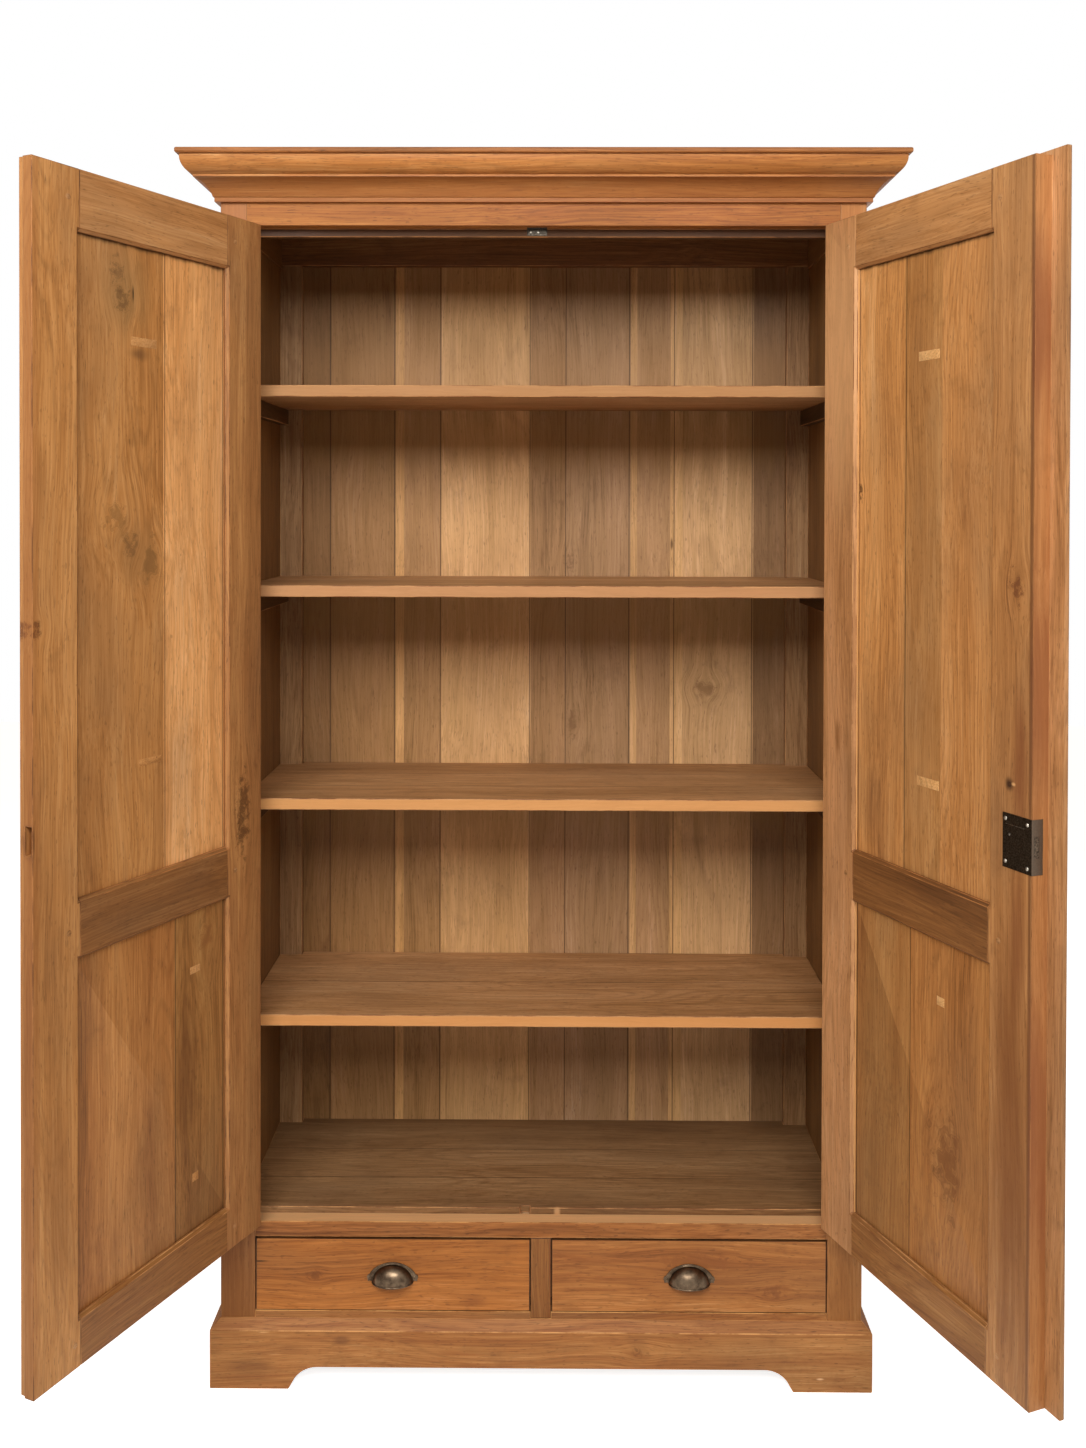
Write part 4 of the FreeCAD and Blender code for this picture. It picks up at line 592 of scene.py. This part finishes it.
def finish_sides():
    """The wood of what the case has on its left and on its right, and of the drawers. Each part
    starts at its own number in the figure, so no two are alike."""
    for seed, (side, word) in enumerate(SIDES):
        # Inwards of its seat each front post is darkened, painted shade on the jamb beside the opening.
        wood(f"front_post_{word}", teak(
            f"teak_front_post_{word}", "Z", (LEFT_POST, RIGHT_POST)[seed], 3 + seed, patina_share=0.3,
            marks=((side * 0.545, 0.150, 0.10, 0.130, "#85501f", 0.55),
                   (side * 0.545, 2.105, 0.10, 0.050, "#b5743d", 0.6)),
            wear_and_shade=((side * POST_SEAT, -side * 0.3 * MM, "#4d2f16", 0.55),)), "brown")
        wood(f"back_post_{word}", teak(f"teak_back_post_{word}", "Z", FLOOR, 8 + seed), "inner_pale")
        wood(f"side_panel_{word}", teak(f"teak_side_panel_{word}", "Z_SIDE", SIDE, 11 + seed,
                                        seams=(-0.13, -0.265),
                                        outer=(0, far_side("side_panel_right", 0) - SKIN,
                                               SKIN_RIM, "#c08348", 0.5)), "inner_pale")
        wood(f"plinth_{word}", teak(f"teak_plinth_{word}", "Y", OUTSIDE, 14 + seed))
        wood(f"cornice_{word}", teak(f"teak_cornice_{word}", "Y", CORNICE, 17 + seed), width=0.8)
        # The left drawer has a short crack over its pull and a reddish patch.
        crack = ((-0.2204, -0.506, 0.0016, 0.020, "#1d0e06", 0.99),
                 (-0.150, -0.120, 0.012, 0.030, "#7c4622", 0.5)) if side == LEFT else ()
        knots = (((-0.1957, -0.405, 0.008, 0.013, "#6b3a1a", 0.6),),
                 ((-0.2236, 0.285, 0.016, 0.060, "#8a5228", 0.7),
                  (-0.170, 0.420, 0.010, 0.016, "#7c4a26", 0.7)))[seed]
        # Painted shade: each drawer front's upper and lower edges are darkened, where they meet the shaded
        # gaps.
        wood(f"{word}_drawer_front", teak(
            f"teak_{word}_drawer_front", "X", (WARM, DRAWER)[seed], 21 + seed, patina_share=0.3,
            marks=crack, knots=knots, wear_and_shade=((-DRAWER_TOP, -0.2 * MM, GAP_SHADE, 0.7),
                                            (-DRAWER_FOOT, 0.2 * MM, GAP_SHADE, 0.7))), "grimy_gap_shade")
        wood(f"{word}_drawer_box", teak(f"bare_teak_{word}_drawer_box", "Y", PLAIN, 24 + seed),
             "inner_pale")
        wood(f"{word}_drawer_bottom", teak(f"bare_teak_{word}_drawer_bottom", "X_FLAT", PLAIN, 27 + seed),
             "inner_pale")


def finish_doors():
    """The wood of the doors: each part is its own board."""
    for seed, (side, word) in enumerate(SIDES):
        for part, grain, tones, arris in (
                ("hinge_stile", "Z", (DOOR_STILE, DOOR_FAIR)[seed], ("brown", "inner_pale")[seed]),
                ("meeting_stile", "Z", (DOOR_PANEL, DOOR_RIGHT)[seed], "brown"),
                ("top_rail", "X", DOOR_RIGHT, "brown"), ("mid_rail", "X", DOOR_RAIL, "brown"),
                ("bottom_rail", "X", DOOR_FOOT, "inner_pale"), ("upper_panel", "Z", DOOR_PANEL, "brown"),
                ("lower_panel", "Z", DOOR_DULL, "brown")):
            node = f"{word}_door_{part}"
            wood(node, teak(f"teak_{node}", grain, tones, 31 + 8 * seed + len(part), leaf=side,
                            patina_share=0.35, boards=PANEL_BOARDS.get(node, ()),
                            seams=PANEL_SEAMS.get(node, ()), knots=DOOR_KNOTS.get(node, ()),
                            marks=DOOR_MARKS.get(node, ()), wear_and_shade=DOOR_EDGES.get(node, ()),
                            contrast=0.9), arris, 1.0)


def finish_case():
    """The wood of the frame, the plinth, the shelves and the back."""
    # Painted shade: the stop below the frieze is darkened, as it lies in the frieze's shadow.
    wood("frieze_rail", teak("teak_frieze_rail", "X", FRIEZE, 51, patina_share=0.25,
                             wear_and_shade=((-STOP_TOP, 0.4 * MM, "#331b04", 0.88),)), "brown")
    # Painted shade: the mid rail's underside, the lower rail's top and the slim post's sides are darkened
    # where they border the drawers' gaps.
    wood("mid_rail", teak("teak_mid_rail", "X", RAIL, 52, patina_share=0.35,
                          contrast=1.2, wear_and_shade=((-LEDGE, -0.3 * MM, "#f6c48c", 0.6),
                                              (-RAIL_FOOT, 0.2 * MM, GAP_SHADE, 0.8))))
    wood("bottom_rail", teak("teak_bottom_rail", "X", PLINTH, 53, patina_share=0.4,
                             wear_and_shade=((-LOW_RAIL_TOP, -0.2 * MM, GAP_SHADE, 0.8),)))
    wood("drawer_divider", teak("teak_drawer_divider", "Z", SLIM_POST, 54, patina_share=0.3,
                                wear_and_shade=((-DIVIDER_SIDE, -0.2 * MM, GAP_SHADE, 0.8),
                                      (DIVIDER_SIDE, 0.2 * MM, GAP_SHADE, 0.8))), "grimy_gap_shade")
    wood("back_rails", teak("teak_back_rails", "X", DULL, 55), "inner_pale")
    wood("side_rails", teak("teak_side_rails", "Y", SIDE, 56,
                            outer=(0, far_side("side_rails", 0) - SKIN, SKIN_RIM, "#b0733c", 0.5)),
         "inner_pale")
    wood("cornice_front", teak("teak_cornice_front", "X", CORNICE, 57, patina_share=0.2,
                               wear_and_shade=((-BAND_TOP, 0.3 * MM, "#7f4821", 0.5),)), width=0.8)
    wood("top_board", teak("teak_top_board", "X_FLAT", RAIL, 58, seams=(-0.17, -0.33)), width=0.8)
    # Pale scratches and knocks on the plinth, and two brown scuffs.
    scratches = ((-0.1013, -0.495, 0.0016, 0.012, "#dba873", 0.8),
                 (-0.0620, -0.474, 0.0012, 0.018, "#d09a63", 0.6),
                 (-0.0239, 0.498, 0.0022, 0.008, "#e5b98a", 0.9),
                 (-0.0790, -0.330, 0.0012, 0.025, "#c9935c", 0.6),
                 (-0.1052, 0.079, 0.0014, 0.030, "#c9935c", 0.5),
                 (-0.0400, -0.520, 0.0300, 0.060, "#6f4523", 0.5),
                 (-0.0880, -0.355, 0.0100, 0.016, "#6b4324", 0.6))
    wood("plinth_front", teak("teak_plinth_front", "X", PLINTH, 59, patina_share=0.3, marks=scratches,
                              knots=((-0.0700, 0.180, 0.0100, 0.020, "#75471f", 0.6),)))
    wood("plinth_back", teak("teak_plinth_back", "X", DULL, 60), "inner_pale")
    # Painted shade: the case floor darkens towards the back, where less light reaches.
    wood("case_floor", teak("teak_case_floor", "X_FLAT", FLOOR, 61, seams=(-0.156, -0.270),
                            patina_share=0.4, wear_and_shade=((-0.12, 0.13, "#4c331c", 0.6),),
                            marks=((-0.379, -0.027, 0.004, 0.008, "#dcb48a", 0.9),
                                   (-0.379, 0.029, 0.003, 0.006, "#cfa272", 0.8),
                                   (-0.372, 0.012, 0.0014, 0.030, "#3b2411", 0.7))), "inner_pale")
    wood("ceiling_board", teak("teak_ceiling_board", "X_FLAT", DULL, 62), "inner_pale")
    # The cleats under the shelves are near black, painted shade where they sit in the dark under each
    # shelf.
    wood("shelf_cleats", teak("teak_shelf_cleats_in_painted_shade", "Y", ("#2b1b0b", "#402a14", "#50361b", "#64462a"), 63),
         "inner_pale")
    wood("drawer_runners", teak("teak_drawer_runners", "Y", PLAIN, 64), "inner_pale")
    wood("cover_strip", teak("teak_cover_strip", "Z", DOOR_FAIR, 65, leaf=RIGHT))
    # Painted light: each shelf's front edge gets a paler tone of its own, as if lit by the front light.
    for number, (seams, lit_edge_tone) in enumerate((
            ((-0.2,), "#d29153"), ((-0.14, -0.26), "#d2965a"), ((-0.21,), "#b68356"),
            ((-0.17,), "#a87849")), start=1):
        wood(f"shelf_{number}", teak(f"teak_shelf_{number}", "X_FLAT", SHELF, 65 + number,
                                     patina_share=0.3, seams=seams,
                                     wear_and_shade=((SHELF_FACE, -0.3 * MM, lit_edge_tone, 0.8),)), "inner_pale", 1.5)
    # The back's tints start at these lines, in millimetres, and some boards are two-toned, so not every
    # line is a joint. The first and last tints, beside the sides, are darker as painted shade from the
    # sides.
    edges = (-504, -442, -309, -292, -214, -29, 45, 176, 190, 258, 269, 284, 430)
    tints = ("#979089", "#aba59f", "#dcd9d2", "#b6b2b0", "#dadce0", "#b3b1b8", "#b2b3c0", "#dde0e6",
             "#bcbcc6", "#dee0e4", "#dee2e6", "#d2d6e0", "#918d8f")
    not_joints = (-504, -292, 190, 258, 284)
    joints = [edge * MM for edge in edges if edge not in not_joints]
    # Painted shade: the back is darkened in a band under each shelf, and over the lower part of the top
    # bay, where the shelf or the frieze above shades it.
    shade_under_shelves = (0.575, 0.965, 1.355, 1.715)
    wood("back_boards", teak("teak_back_boards", "Z", INSIDE, 71, rings=13, patina_share=0.2,
                             contrast=0.8, seams=joints,
                             boards=[(edge * MM, tint) for edge, tint in zip(edges, tints)],
                             knots=((0.334, 1.203, 0.022, 0.016, "#8a6540", 0.8),
                                    (0.060, 1.130, 0.012, 0.030, "#7a5838", 0.7),
                                    (0.055, 1.460, 0.010, 0.022, "#7a5838", 0.7)),
                             marks=((0.264, 1.500, 0.003, 0.014, "#553619", 0.8),
                                    *[(0, level, 3.0, 0.075, "#96703c", 0.45) for level in shade_under_shelves],
                                    (0, 1.850, 3.0, 0.100, "#855e34", 0.45)),
                             outer=(1, SKIN - far_side("back_boards", 1), -SKIN_RIM, "#8f6a42",
                                    0.6)), "inner_pale", 0.8)


def finish_metal():
    """The metal of the hinges, the lock, the catch and the pulls."""
    for names, finish in ((("frame_hinge_leaves", "hinge_pins", "lock_bolt", "left_door_hinge_leaves",
                            "right_door_hinge_leaves"), "steel"),
                          (("top_catch",), "dull"), (("lock_case",), "iron"),
                          (("escutcheon", "left_cup_pull", "right_cup_pull"), "bronze")):
        for name in names:
            NODES[name].data.materials.clear()
            NODES[name].data.materials.append(FINISH[finish])


# making pieces
def clear_bench():
    """Nothing selected, object mode."""
    if bpy.context.mode != "OBJECT":
        bpy.ops.object.mode_set(mode="OBJECT")
    bpy.ops.object.select_all(action="DESELECT")


def pick(piece, kind, test):
    """In edit mode, select only the faces or edges whose middle passes the test."""
    bpy.ops.mesh.select_mode(type=kind)
    bpy.ops.mesh.select_all(action="DESELECT")
    shape = bmesh.from_edit_mesh(piece.data)
    for item in shape.faces if kind == "FACE" else shape.edges:
        corners = [corner.co for corner in item.verts]
        item.select_set(bool(test(sum(corners, Vector()) / len(corners))))
    bmesh.update_edit_mesh(piece.data)


def set_place(piece, place):
    """Puts a piece's place, turn and size into its mesh."""
    whole = place @ piece.matrix_world
    piece.data.transform(whole)
    piece.matrix_world = Matrix.Identity(4)
    if whole.determinant() < 0:
        piece.data.flip_normals()


def hand_over(piece, name, body, material):
    """Names a finished piece, gives it its material and the body it rides on."""
    clear_bench()
    piece.name = name
    piece.data.name = name
    piece.data.materials.clear()
    piece.data.materials.append(material)
    piece.select_set(True)
    bpy.context.view_layer.objects.active = piece
    bpy.ops.object.shade_smooth_by_angle(angle=SHARP)
    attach(piece, body)


def cut_with(piece, cutter):
    """Takes the cutter's shape out of the piece."""
    clear_bench()
    bpy.context.view_layer.objects.active = piece
    saw = piece.modifiers.new("saw", "BOOLEAN")
    saw.operation = "DIFFERENCE"
    saw.object = cutter
    bpy.ops.object.modifier_apply(modifier="saw")
    bpy.data.objects.remove(cutter)


def join(pieces):
    """Makes several shapes one piece, the first of them."""
    clear_bench()
    for piece in pieces:
        piece.select_set(True)
    bpy.context.view_layer.objects.active = pieces[0]
    if len(pieces) > 1:
        bpy.ops.object.join()
    return pieces[0]


def ease_rim(piece, kind, width, test):
    """Rounds the rim of the faces, or the edges, whose middle passes the test."""
    bpy.ops.object.mode_set(mode="EDIT")
    pick(piece, kind, test)
    bpy.ops.mesh.bevel(offset=width * MM, segments=2, affect="EDGES")
    bpy.ops.object.mode_set(mode="OBJECT")


def join_copies(pattern, places):
    """One piece made of a copy of the pattern at each place."""
    clear_bench()
    copies = []
    for place in places:
        piece = pattern.copy()
        piece.data = pattern.data.copy()
        bpy.context.scene.collection.objects.link(piece)
        piece.data.transform(place)
        copies.append(piece)
    return join(copies)


def facing(spot, outward, spin=0.0):
    """The place of a piece made lying flat at the origin, with its top turned outward."""
    turn = Vector(outward).to_track_quat("Z", "Y").to_matrix().to_4x4()
    return Matrix.Translation(spot) @ turn @ Matrix.Rotation(spin, 4, "Z")


def leaf_place(side):
    """From a closed leaf's own lines (along, depth, height) to its open place in the room."""
    mirror = Matrix.Diagonal((-side, 1, 1, 1))
    return (Matrix.Translation((side * LEAF_AXIS[0], LEAF_AXIS[1], 0))
            @ Matrix.Rotation(LEAF_OPEN[side], 4, "Z") @ mirror)


def on_leaf(side, along, depth, height, outward, spin=0.0):
    """The place of a small fitting on an open leaf; outward is in the leaf's own lines."""
    place = leaf_place(side)
    spot = place @ (Vector((along, depth, height)) * MM)
    return facing(spot, place.to_3x3() @ Vector(outward), spin)


def on_back(side, along, depth, height):
    """The place of a slip let into an open leaf's inner face, its width along the leaf."""
    return leaf_place(side) @ Matrix(((1, 0, 0, along * MM), (0, 0, 1, depth * MM),
                                      (0, 1, 0, height * MM), (0, 0, 0, 1)))


def slotted_screw(radius):
    """A low round head, made at its size in millimetres, with a slot a quarter of its radius
    wide."""
    clear_bench()
    size = radius * MM
    bpy.ops.mesh.primitive_uv_sphere_add(segments=20, ring_count=12, radius=size,
                                         location=(0, 0, -0.45 * size))
    head = bpy.context.active_object
    bpy.ops.object.transform_apply(location=True, rotation=False, scale=False)
    bpy.ops.object.mode_set(mode="EDIT")
    bpy.ops.mesh.select_all(action="SELECT")
    bpy.ops.mesh.bisect(plane_co=(0, 0, -0.05 * size), plane_no=(0, 0, 1), use_fill=True, clear_inner=True)
    clear_bench()
    bpy.ops.mesh.primitive_cube_add(size=size, location=(0, 0, 0.55 * size))
    slot = bpy.context.active_object
    slot.scale = (3.0, 0.26, 0.6)
    bpy.ops.object.transform_apply(location=False, rotation=False, scale=True)
    cut_with(head, slot)
    return head


def wooden_peg(radius):
    """The end of a drawbore peg, hardly proud, with its rim rubbed round."""
    clear_bench()
    bpy.ops.mesh.primitive_cylinder_add(vertices=18, radius=radius * MM, depth=1.4 * MM)
    peg = bpy.context.active_object
    ease_rim(peg, "FACE", 0.45, lambda middle: middle.z > 0.6 * MM)
    return peg


def set_in_slip(wide, tall):
    """A thin slip of wood let into a surface, its corners eased."""
    clear_bench()
    bpy.ops.mesh.primitive_cube_add(size=1)
    slip = bpy.context.active_object
    slip.scale = (wide * MM, tall * MM, 0.8 * MM)
    bpy.ops.object.transform_apply(location=False, rotation=False, scale=True)
    ease_rim(slip, "FACE", 0.3, lambda middle: middle.z > 0.3 * MM)
    return slip


# the pieces
def pegs_and_slips():
    """Drawbore pegs at the door joints and the pale slips that fill old cuts in the doors."""
    peg = wooden_peg(4.6)
    # Each peg's place along its leaf and above the floor, and each slip's too, with its size.
    spots = {LEFT: ((458, 2029), (447, 330), (72, 2030), (458, 947), (72, 947), (74, 330)),
             RIGHT: ((453, 2028), (458, 945), (70, 2024), (75, 328), (461, 337), (72, 947))}
    slips = {LEFT: ((288, 1834, 58, 14), (274, 1170, 52, 11), (166, 803, 25, 12), (166, 455, 15, 14)),
             RIGHT: ((280, 1817, 52, 15), (282, 1141, 55, 15), (316, 806, 18, 14))}
    shades = {LEFT: FINISH["slip"], RIGHT: FINISH["pale_slip"]}
    for side, word in SIDES:
        pegs = join_copies(peg, [on_leaf(side, along, PEG_DEPTH, height, (0, 1, 0), along)
                                 for along, height in spots[side]])
        hand_over(pegs, f"{word}_door_pegs", f"{word}_door", FINISH["peg"])
        joined = []
        for along, height, wide, tall in slips[side]:
            slip = set_in_slip(wide, tall)
            set_place(slip, on_back(side, along, SLIP_DEPTH, height))
            joined.append(slip)
        hand_over(join(joined), f"{word}_door_slips", f"{word}_door", shades[side])
    bpy.data.objects.remove(peg)
    plug = wooden_peg(4.2)
    dark = join_copies(plug, [on_leaf(RIGHT, PLUG_ALONG, PEG_DEPTH - 0.1, PLUG_LEVEL, (0, 1, 0))])
    hand_over(dark, "right_door_plugged_hole", "right_door", FINISH["plug"])
    bpy.data.objects.remove(plug)


def lock_and_catch_screws():
    """Bright slotted screws on the lock's plate and the catch, and the plate's pin and rib."""
    screw = slotted_screw(3.5)
    corners = ((473, 1128, 0.4), (518, 1127, 1.9), (473, 1066, 2.6), (518, 1065, 1.1))
    spots = [on_leaf(RIGHT, along, LOCK_FACE, height, (0, 1, 0), spin)
             for along, height, spin in corners]
    hand_over(join_copies(screw, spots), "lock_plate_screws", "right_door",
              FINISH["bright"])
    bpy.data.objects.remove(screw)
    small = slotted_screw(2.3)
    pin = on_leaf(RIGHT, 481, LOCK_FACE, 1106, (0, 1, 0), 0.9)
    hand_over(join_copies(small, [pin]), "lock_plate_pin", "right_door",
              FINISH["steel"])
    rib = set_in_slip(40, 1.2)
    set_place(rib, on_back(RIGHT, 493, LOCK_FACE - 0.2, 1120.5))
    hand_over(rib, "lock_plate_rib", "right_door", FINISH["steel"])
    # The shut left door stands about half a millimetre before the catch, so these heads are sunk.
    sunk = Matrix.Diagonal((1, 1, 0.25, 1))
    catch_face, catch_level = -381.4, 2070.6
    catch = [facing(Vector((x, catch_face, catch_level)) * MM, (0, -1, 0), spin) @ sunk
             for x, spin in ((-22.5, 0.5), (-9, 2.1))]
    hand_over(join_copies(small, catch), "catch_screws", "case", FINISH["bright"])
    bpy.data.objects.remove(small)


def hinge_screws():
    """Three countersunk screws in every hinge leaf, flush with it."""
    screw = slotted_screw(3.0)
    flush = Matrix.Diagonal((1, 1, 0.3, 1))
    levels = [centre + step for centre in HINGE_LEVELS for step in (-SCREW_STEP, 0, SCREW_STEP)]
    # The leaves' faces and middles. On the doors the screws stray by up to 4 mm, as by hand.
    door_face, door_middle = 0.8, 17
    frame_face, frame_middle = 528.9, -398
    for side, word in SIDES:
        door = [on_leaf(side, door_face, door_middle + (level % 7 - 3), level, (-1, 0, 0), level)
                @ flush for level in levels]
        hand_over(join_copies(screw, door), f"{word}_door_hinge_screws", f"{word}_door",
                  FINISH["steel"])
    frame_spots = [facing(Vector((side * frame_face, frame_middle, level)) * MM, (-side, 0, 0), level)
                   @ flush for side in (LEFT, RIGHT) for level in levels]
    hand_over(join_copies(screw, frame_spots), "frame_hinge_screws", "case",
              FINISH["steel"])
    bpy.data.objects.remove(screw)


def half_ring(wide, tall, wire, toward):
    """A wire bent to an oval, and only the half of it that lies the given way."""
    clear_bench()
    round_size = 30
    bpy.ops.mesh.primitive_torus_add(major_segments=64, minor_segments=10, minor_radius=wire * MM,
                                     major_radius=round_size * MM)
    ring = bpy.context.active_object
    ring.scale = (wide / round_size, tall / round_size, 1)
    bpy.ops.object.transform_apply(location=False, rotation=False, scale=True)
    bpy.ops.object.mode_set(mode="EDIT")
    bpy.ops.mesh.select_all(action="SELECT")
    bpy.ops.mesh.bisect(plane_co=(0, 0, 0), plane_no=toward, use_fill=True, clear_inner=True)
    bpy.ops.object.mode_set(mode="OBJECT")
    return ring


def cup_dome():
    """A pull's hollow cup: a quarter of an oval ball, open below and behind, with a low skirt."""
    wide, throw, tall, skirt = 36.0 * MM, 23.4 * MM, 29.0 * MM, 2.2 * MM
    clear_bench()
    bpy.ops.mesh.primitive_uv_sphere_add(segments=64, ring_count=32, radius=1.0)
    dome = bpy.context.active_object
    dome.scale = (wide, throw, tall)
    bpy.ops.object.transform_apply(location=False, rotation=False, scale=True)
    bpy.ops.object.mode_set(mode="EDIT")
    bpy.ops.mesh.select_all(action="SELECT")
    bpy.ops.mesh.bisect(plane_co=(0, 0, 0), plane_no=(0, 0, 1), clear_inner=True)
    bpy.ops.mesh.select_all(action="SELECT")
    bpy.ops.mesh.bisect(plane_co=(0, -0.2 * MM, 0), plane_no=(0, -1, 0), clear_inner=True)
    pick(dome, "EDGE", lambda middle: middle.z < 0.01 * MM and middle.y < -0.3 * MM)
    bpy.ops.mesh.extrude_edges_move(TRANSFORM_OT_translate={"value": (0, 0, -skirt)})
    bpy.ops.mesh.select_all(action="SELECT")
    bpy.ops.mesh.normals_make_consistent(inside=False)
    bpy.ops.object.mode_set(mode="OBJECT")
    wall = dome.modifiers.new("wall", "SOLIDIFY")
    wall.thickness = 1.6 * MM
    wall.offset = -1
    bpy.ops.object.modifier_apply(modifier="wall")
    return dome


def plate_and_ears():
    """A pull's crescent plate, whose upper edge is an arc over both ears, and the two ears."""
    bend = (EAR_REACH ** 2 + PLATE_RISE ** 2) / (2 * PLATE_RISE)
    clear_bench()
    bpy.ops.mesh.primitive_cylinder_add(
        vertices=96, radius=bend * MM, depth=PLATE_THICK * MM, rotation=(pi / 2, 0, 0),
        location=(0, -PLATE_THICK / 2 * MM, (PLATE_RISE - bend) * MM))
    plate = bpy.context.active_object
    plate.scale = (1.1, 1, 1)
    bpy.ops.object.transform_apply(location=True, rotation=True, scale=True)
    bpy.ops.object.mode_set(mode="EDIT")
    bpy.ops.mesh.select_all(action="SELECT")
    bpy.ops.mesh.bisect(plane_co=(0, 0, 0), plane_no=(0, 0, 1), use_fill=True, clear_inner=True)
    ease_rim(plate, "EDGE", 0.5, lambda middle: middle.y < -1.3 * MM and middle.z > 0.2 * MM)
    made = [plate]
    for end in (-1, 1):
        clear_bench()
        bpy.ops.mesh.primitive_cylinder_add(vertices=28, radius=5.9 * MM, depth=1.5 * MM,
                                            location=(end * EAR_REACH * MM, -0.75 * MM, EAR_RISE * MM),
                                            rotation=(pi / 2, 0, 0))
        ear = bpy.context.active_object
        bpy.ops.object.transform_apply(location=True, rotation=True, scale=False)
        ease_rim(ear, "FACE", 0.5, lambda middle: middle.y < -1.4 * MM)
        made.append(ear)
    return made


def cup_pulls():
    """Cast cup pulls: a thin oval dome with a rolled lip on a crescent plate with ridges."""
    made = [cup_dome(), *plate_and_ears()]
    # The rolled lip runs round the mouth, and two ridges follow the plate's edge.
    lip = half_ring(36.2, 23.6, 1.2, (0, -1, 0))
    lip.location = (0, 0, -1.9 * MM)
    made.append(lip)
    for across, up, wire in ((38.2, 30.3, 0.8), (43.4, 32.1, 0.9)):
        ridge = half_ring(across, up, wire, (0, 1, 0))
        ridge.rotation_euler = (pi / 2, 0, 0)
        ridge.location = (0, -1.5 * MM, 0)
        made.append(ridge)
    bpy.context.view_layer.update()
    for piece in made:
        set_place(piece, Matrix.Identity(4))
    pattern = join(made)
    screw = slotted_screw(2.7)
    for side, word in SIDES:
        seat = Matrix.Translation((side * PULL_CENTRE, FRONT, PULL_FOOT + 0.1 * MM))
        pull = join_copies(pattern, [seat])
        hand_over(pull, f"{word}_cup_pull_casting", f"{word}_drawer", FINISH["bronze"])
        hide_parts(f"{word}_cup_pull")
        heads = [facing(Vector((side * PULL_CENTRE + end * EAR_REACH * MM, FRONT - PLATE_THICK * MM,
                                PULL_FOOT + EAR_RISE * MM)), (0, -1, 0), 0.7 + end * side)
                 for end in (-1, 1)]
        hand_over(join_copies(screw, heads), f"{word}_cup_pull_screws", f"{word}_drawer",
                  FINISH["bronze"])
    bpy.data.objects.remove(pattern)
    bpy.data.objects.remove(screw)


def fittings():
    """The wood of the small pieces, from the palest slip to the dark plug, and then the pieces."""
    FINISH["peg"] = teak("teak_peg_end", "Y", SHELF, 91, patina_share=0.1)
    FINISH["slip"] = teak("pale_teak_slip", "X", ("#a56f3d", "#ba824a", "#c79158", "#d6a46e"), 92,
                          patina_share=0.1, smudge=0.1)
    FINISH["pale_slip"] = teak("palest_teak_slip", "X", ("#b9854e", "#cf9a5f", "#dcaa6f", "#e6bb86"), 94,
                               patina_share=0.1, smudge=0.1)
    FINISH["plug"] = teak("dark_teak_plug", "Y", ("#2a170b", "#3d2412", "#4c2f19", "#5d3c22"), 93)
    pegs_and_slips()
    lock_and_catch_screws()
    hinge_screws()
    cup_pulls()


# the studio
def studio():
    """One large soft light high in front, weaker ones beside it and behind, a pale surround."""
    clear_bench()
    bpy.ops.mesh.primitive_plane_add(size=14, location=(0, 0, 0))
    floor = bpy.context.active_object
    floor.name = "studio_floor"
    floor.data.materials.append(pale_floor())
    # Each light has its place, what it looks at, its two sides in metres and its watts.
    for name, place, aim, size, power in (
            ("high_front_light", (-0.3, -3.3, 3.0), (0, -0.2, 1.2), (3.0, 1.3), 133),
            ("left_fill", (-3.2, -2.6, 1.8), (0, -0.2, 1.0), (1.6, 2.2), 7),
            ("right_fill", (3.2, -2.6, 1.8), (0, -0.2, 1.0), (1.6, 2.2), 7),
            ("back_fill", (0.6, 3.2, 2.0), (0, 0, 1.1), (2.4, 1.8), 45)):
        lamp = bpy.data.lights.new(name, "AREA")
        lamp.shape = "RECTANGLE"
        lamp.size, lamp.size_y = size
        lamp.energy = power
        holder = bpy.data.objects.new(name, lamp)
        bpy.context.scene.collection.objects.link(holder)
        holder.location = place
        holder.rotation_euler = (Vector(aim) - Vector(place)).to_track_quat("-Z", "Y").to_euler()
    world = bpy.data.worlds.new("pale_surround")
    bpy.context.scene.world = world
    world.use_nodes = True
    tree = world.node_tree
    tree.nodes.clear()
    seen = seen_directly(tree)
    # The room's own light is faint and warm. What looks straight at it sees white.
    plain = add(tree, "ShaderNodeBackground", {"Color": linear("#ffdfae"), "Strength": 0.14})
    white = add(tree, "ShaderNodeBackground", {"Color": linear("#ffffff"), "Strength": 1.0})
    mixed = add(tree, "ShaderNodeMixShader", {0: seen, 1: plain.outputs[0], 2: white.outputs[0]})
    add(tree, "ShaderNodeOutputWorld", {"Surface": mixed.outputs[0]})
    bpy.context.scene.view_settings.view_transform = "Standard"


place_camera()
metals_and_rubbed_edges()
finish_sides()
finish_doors()
finish_case()
finish_metal()
fittings()
studio()
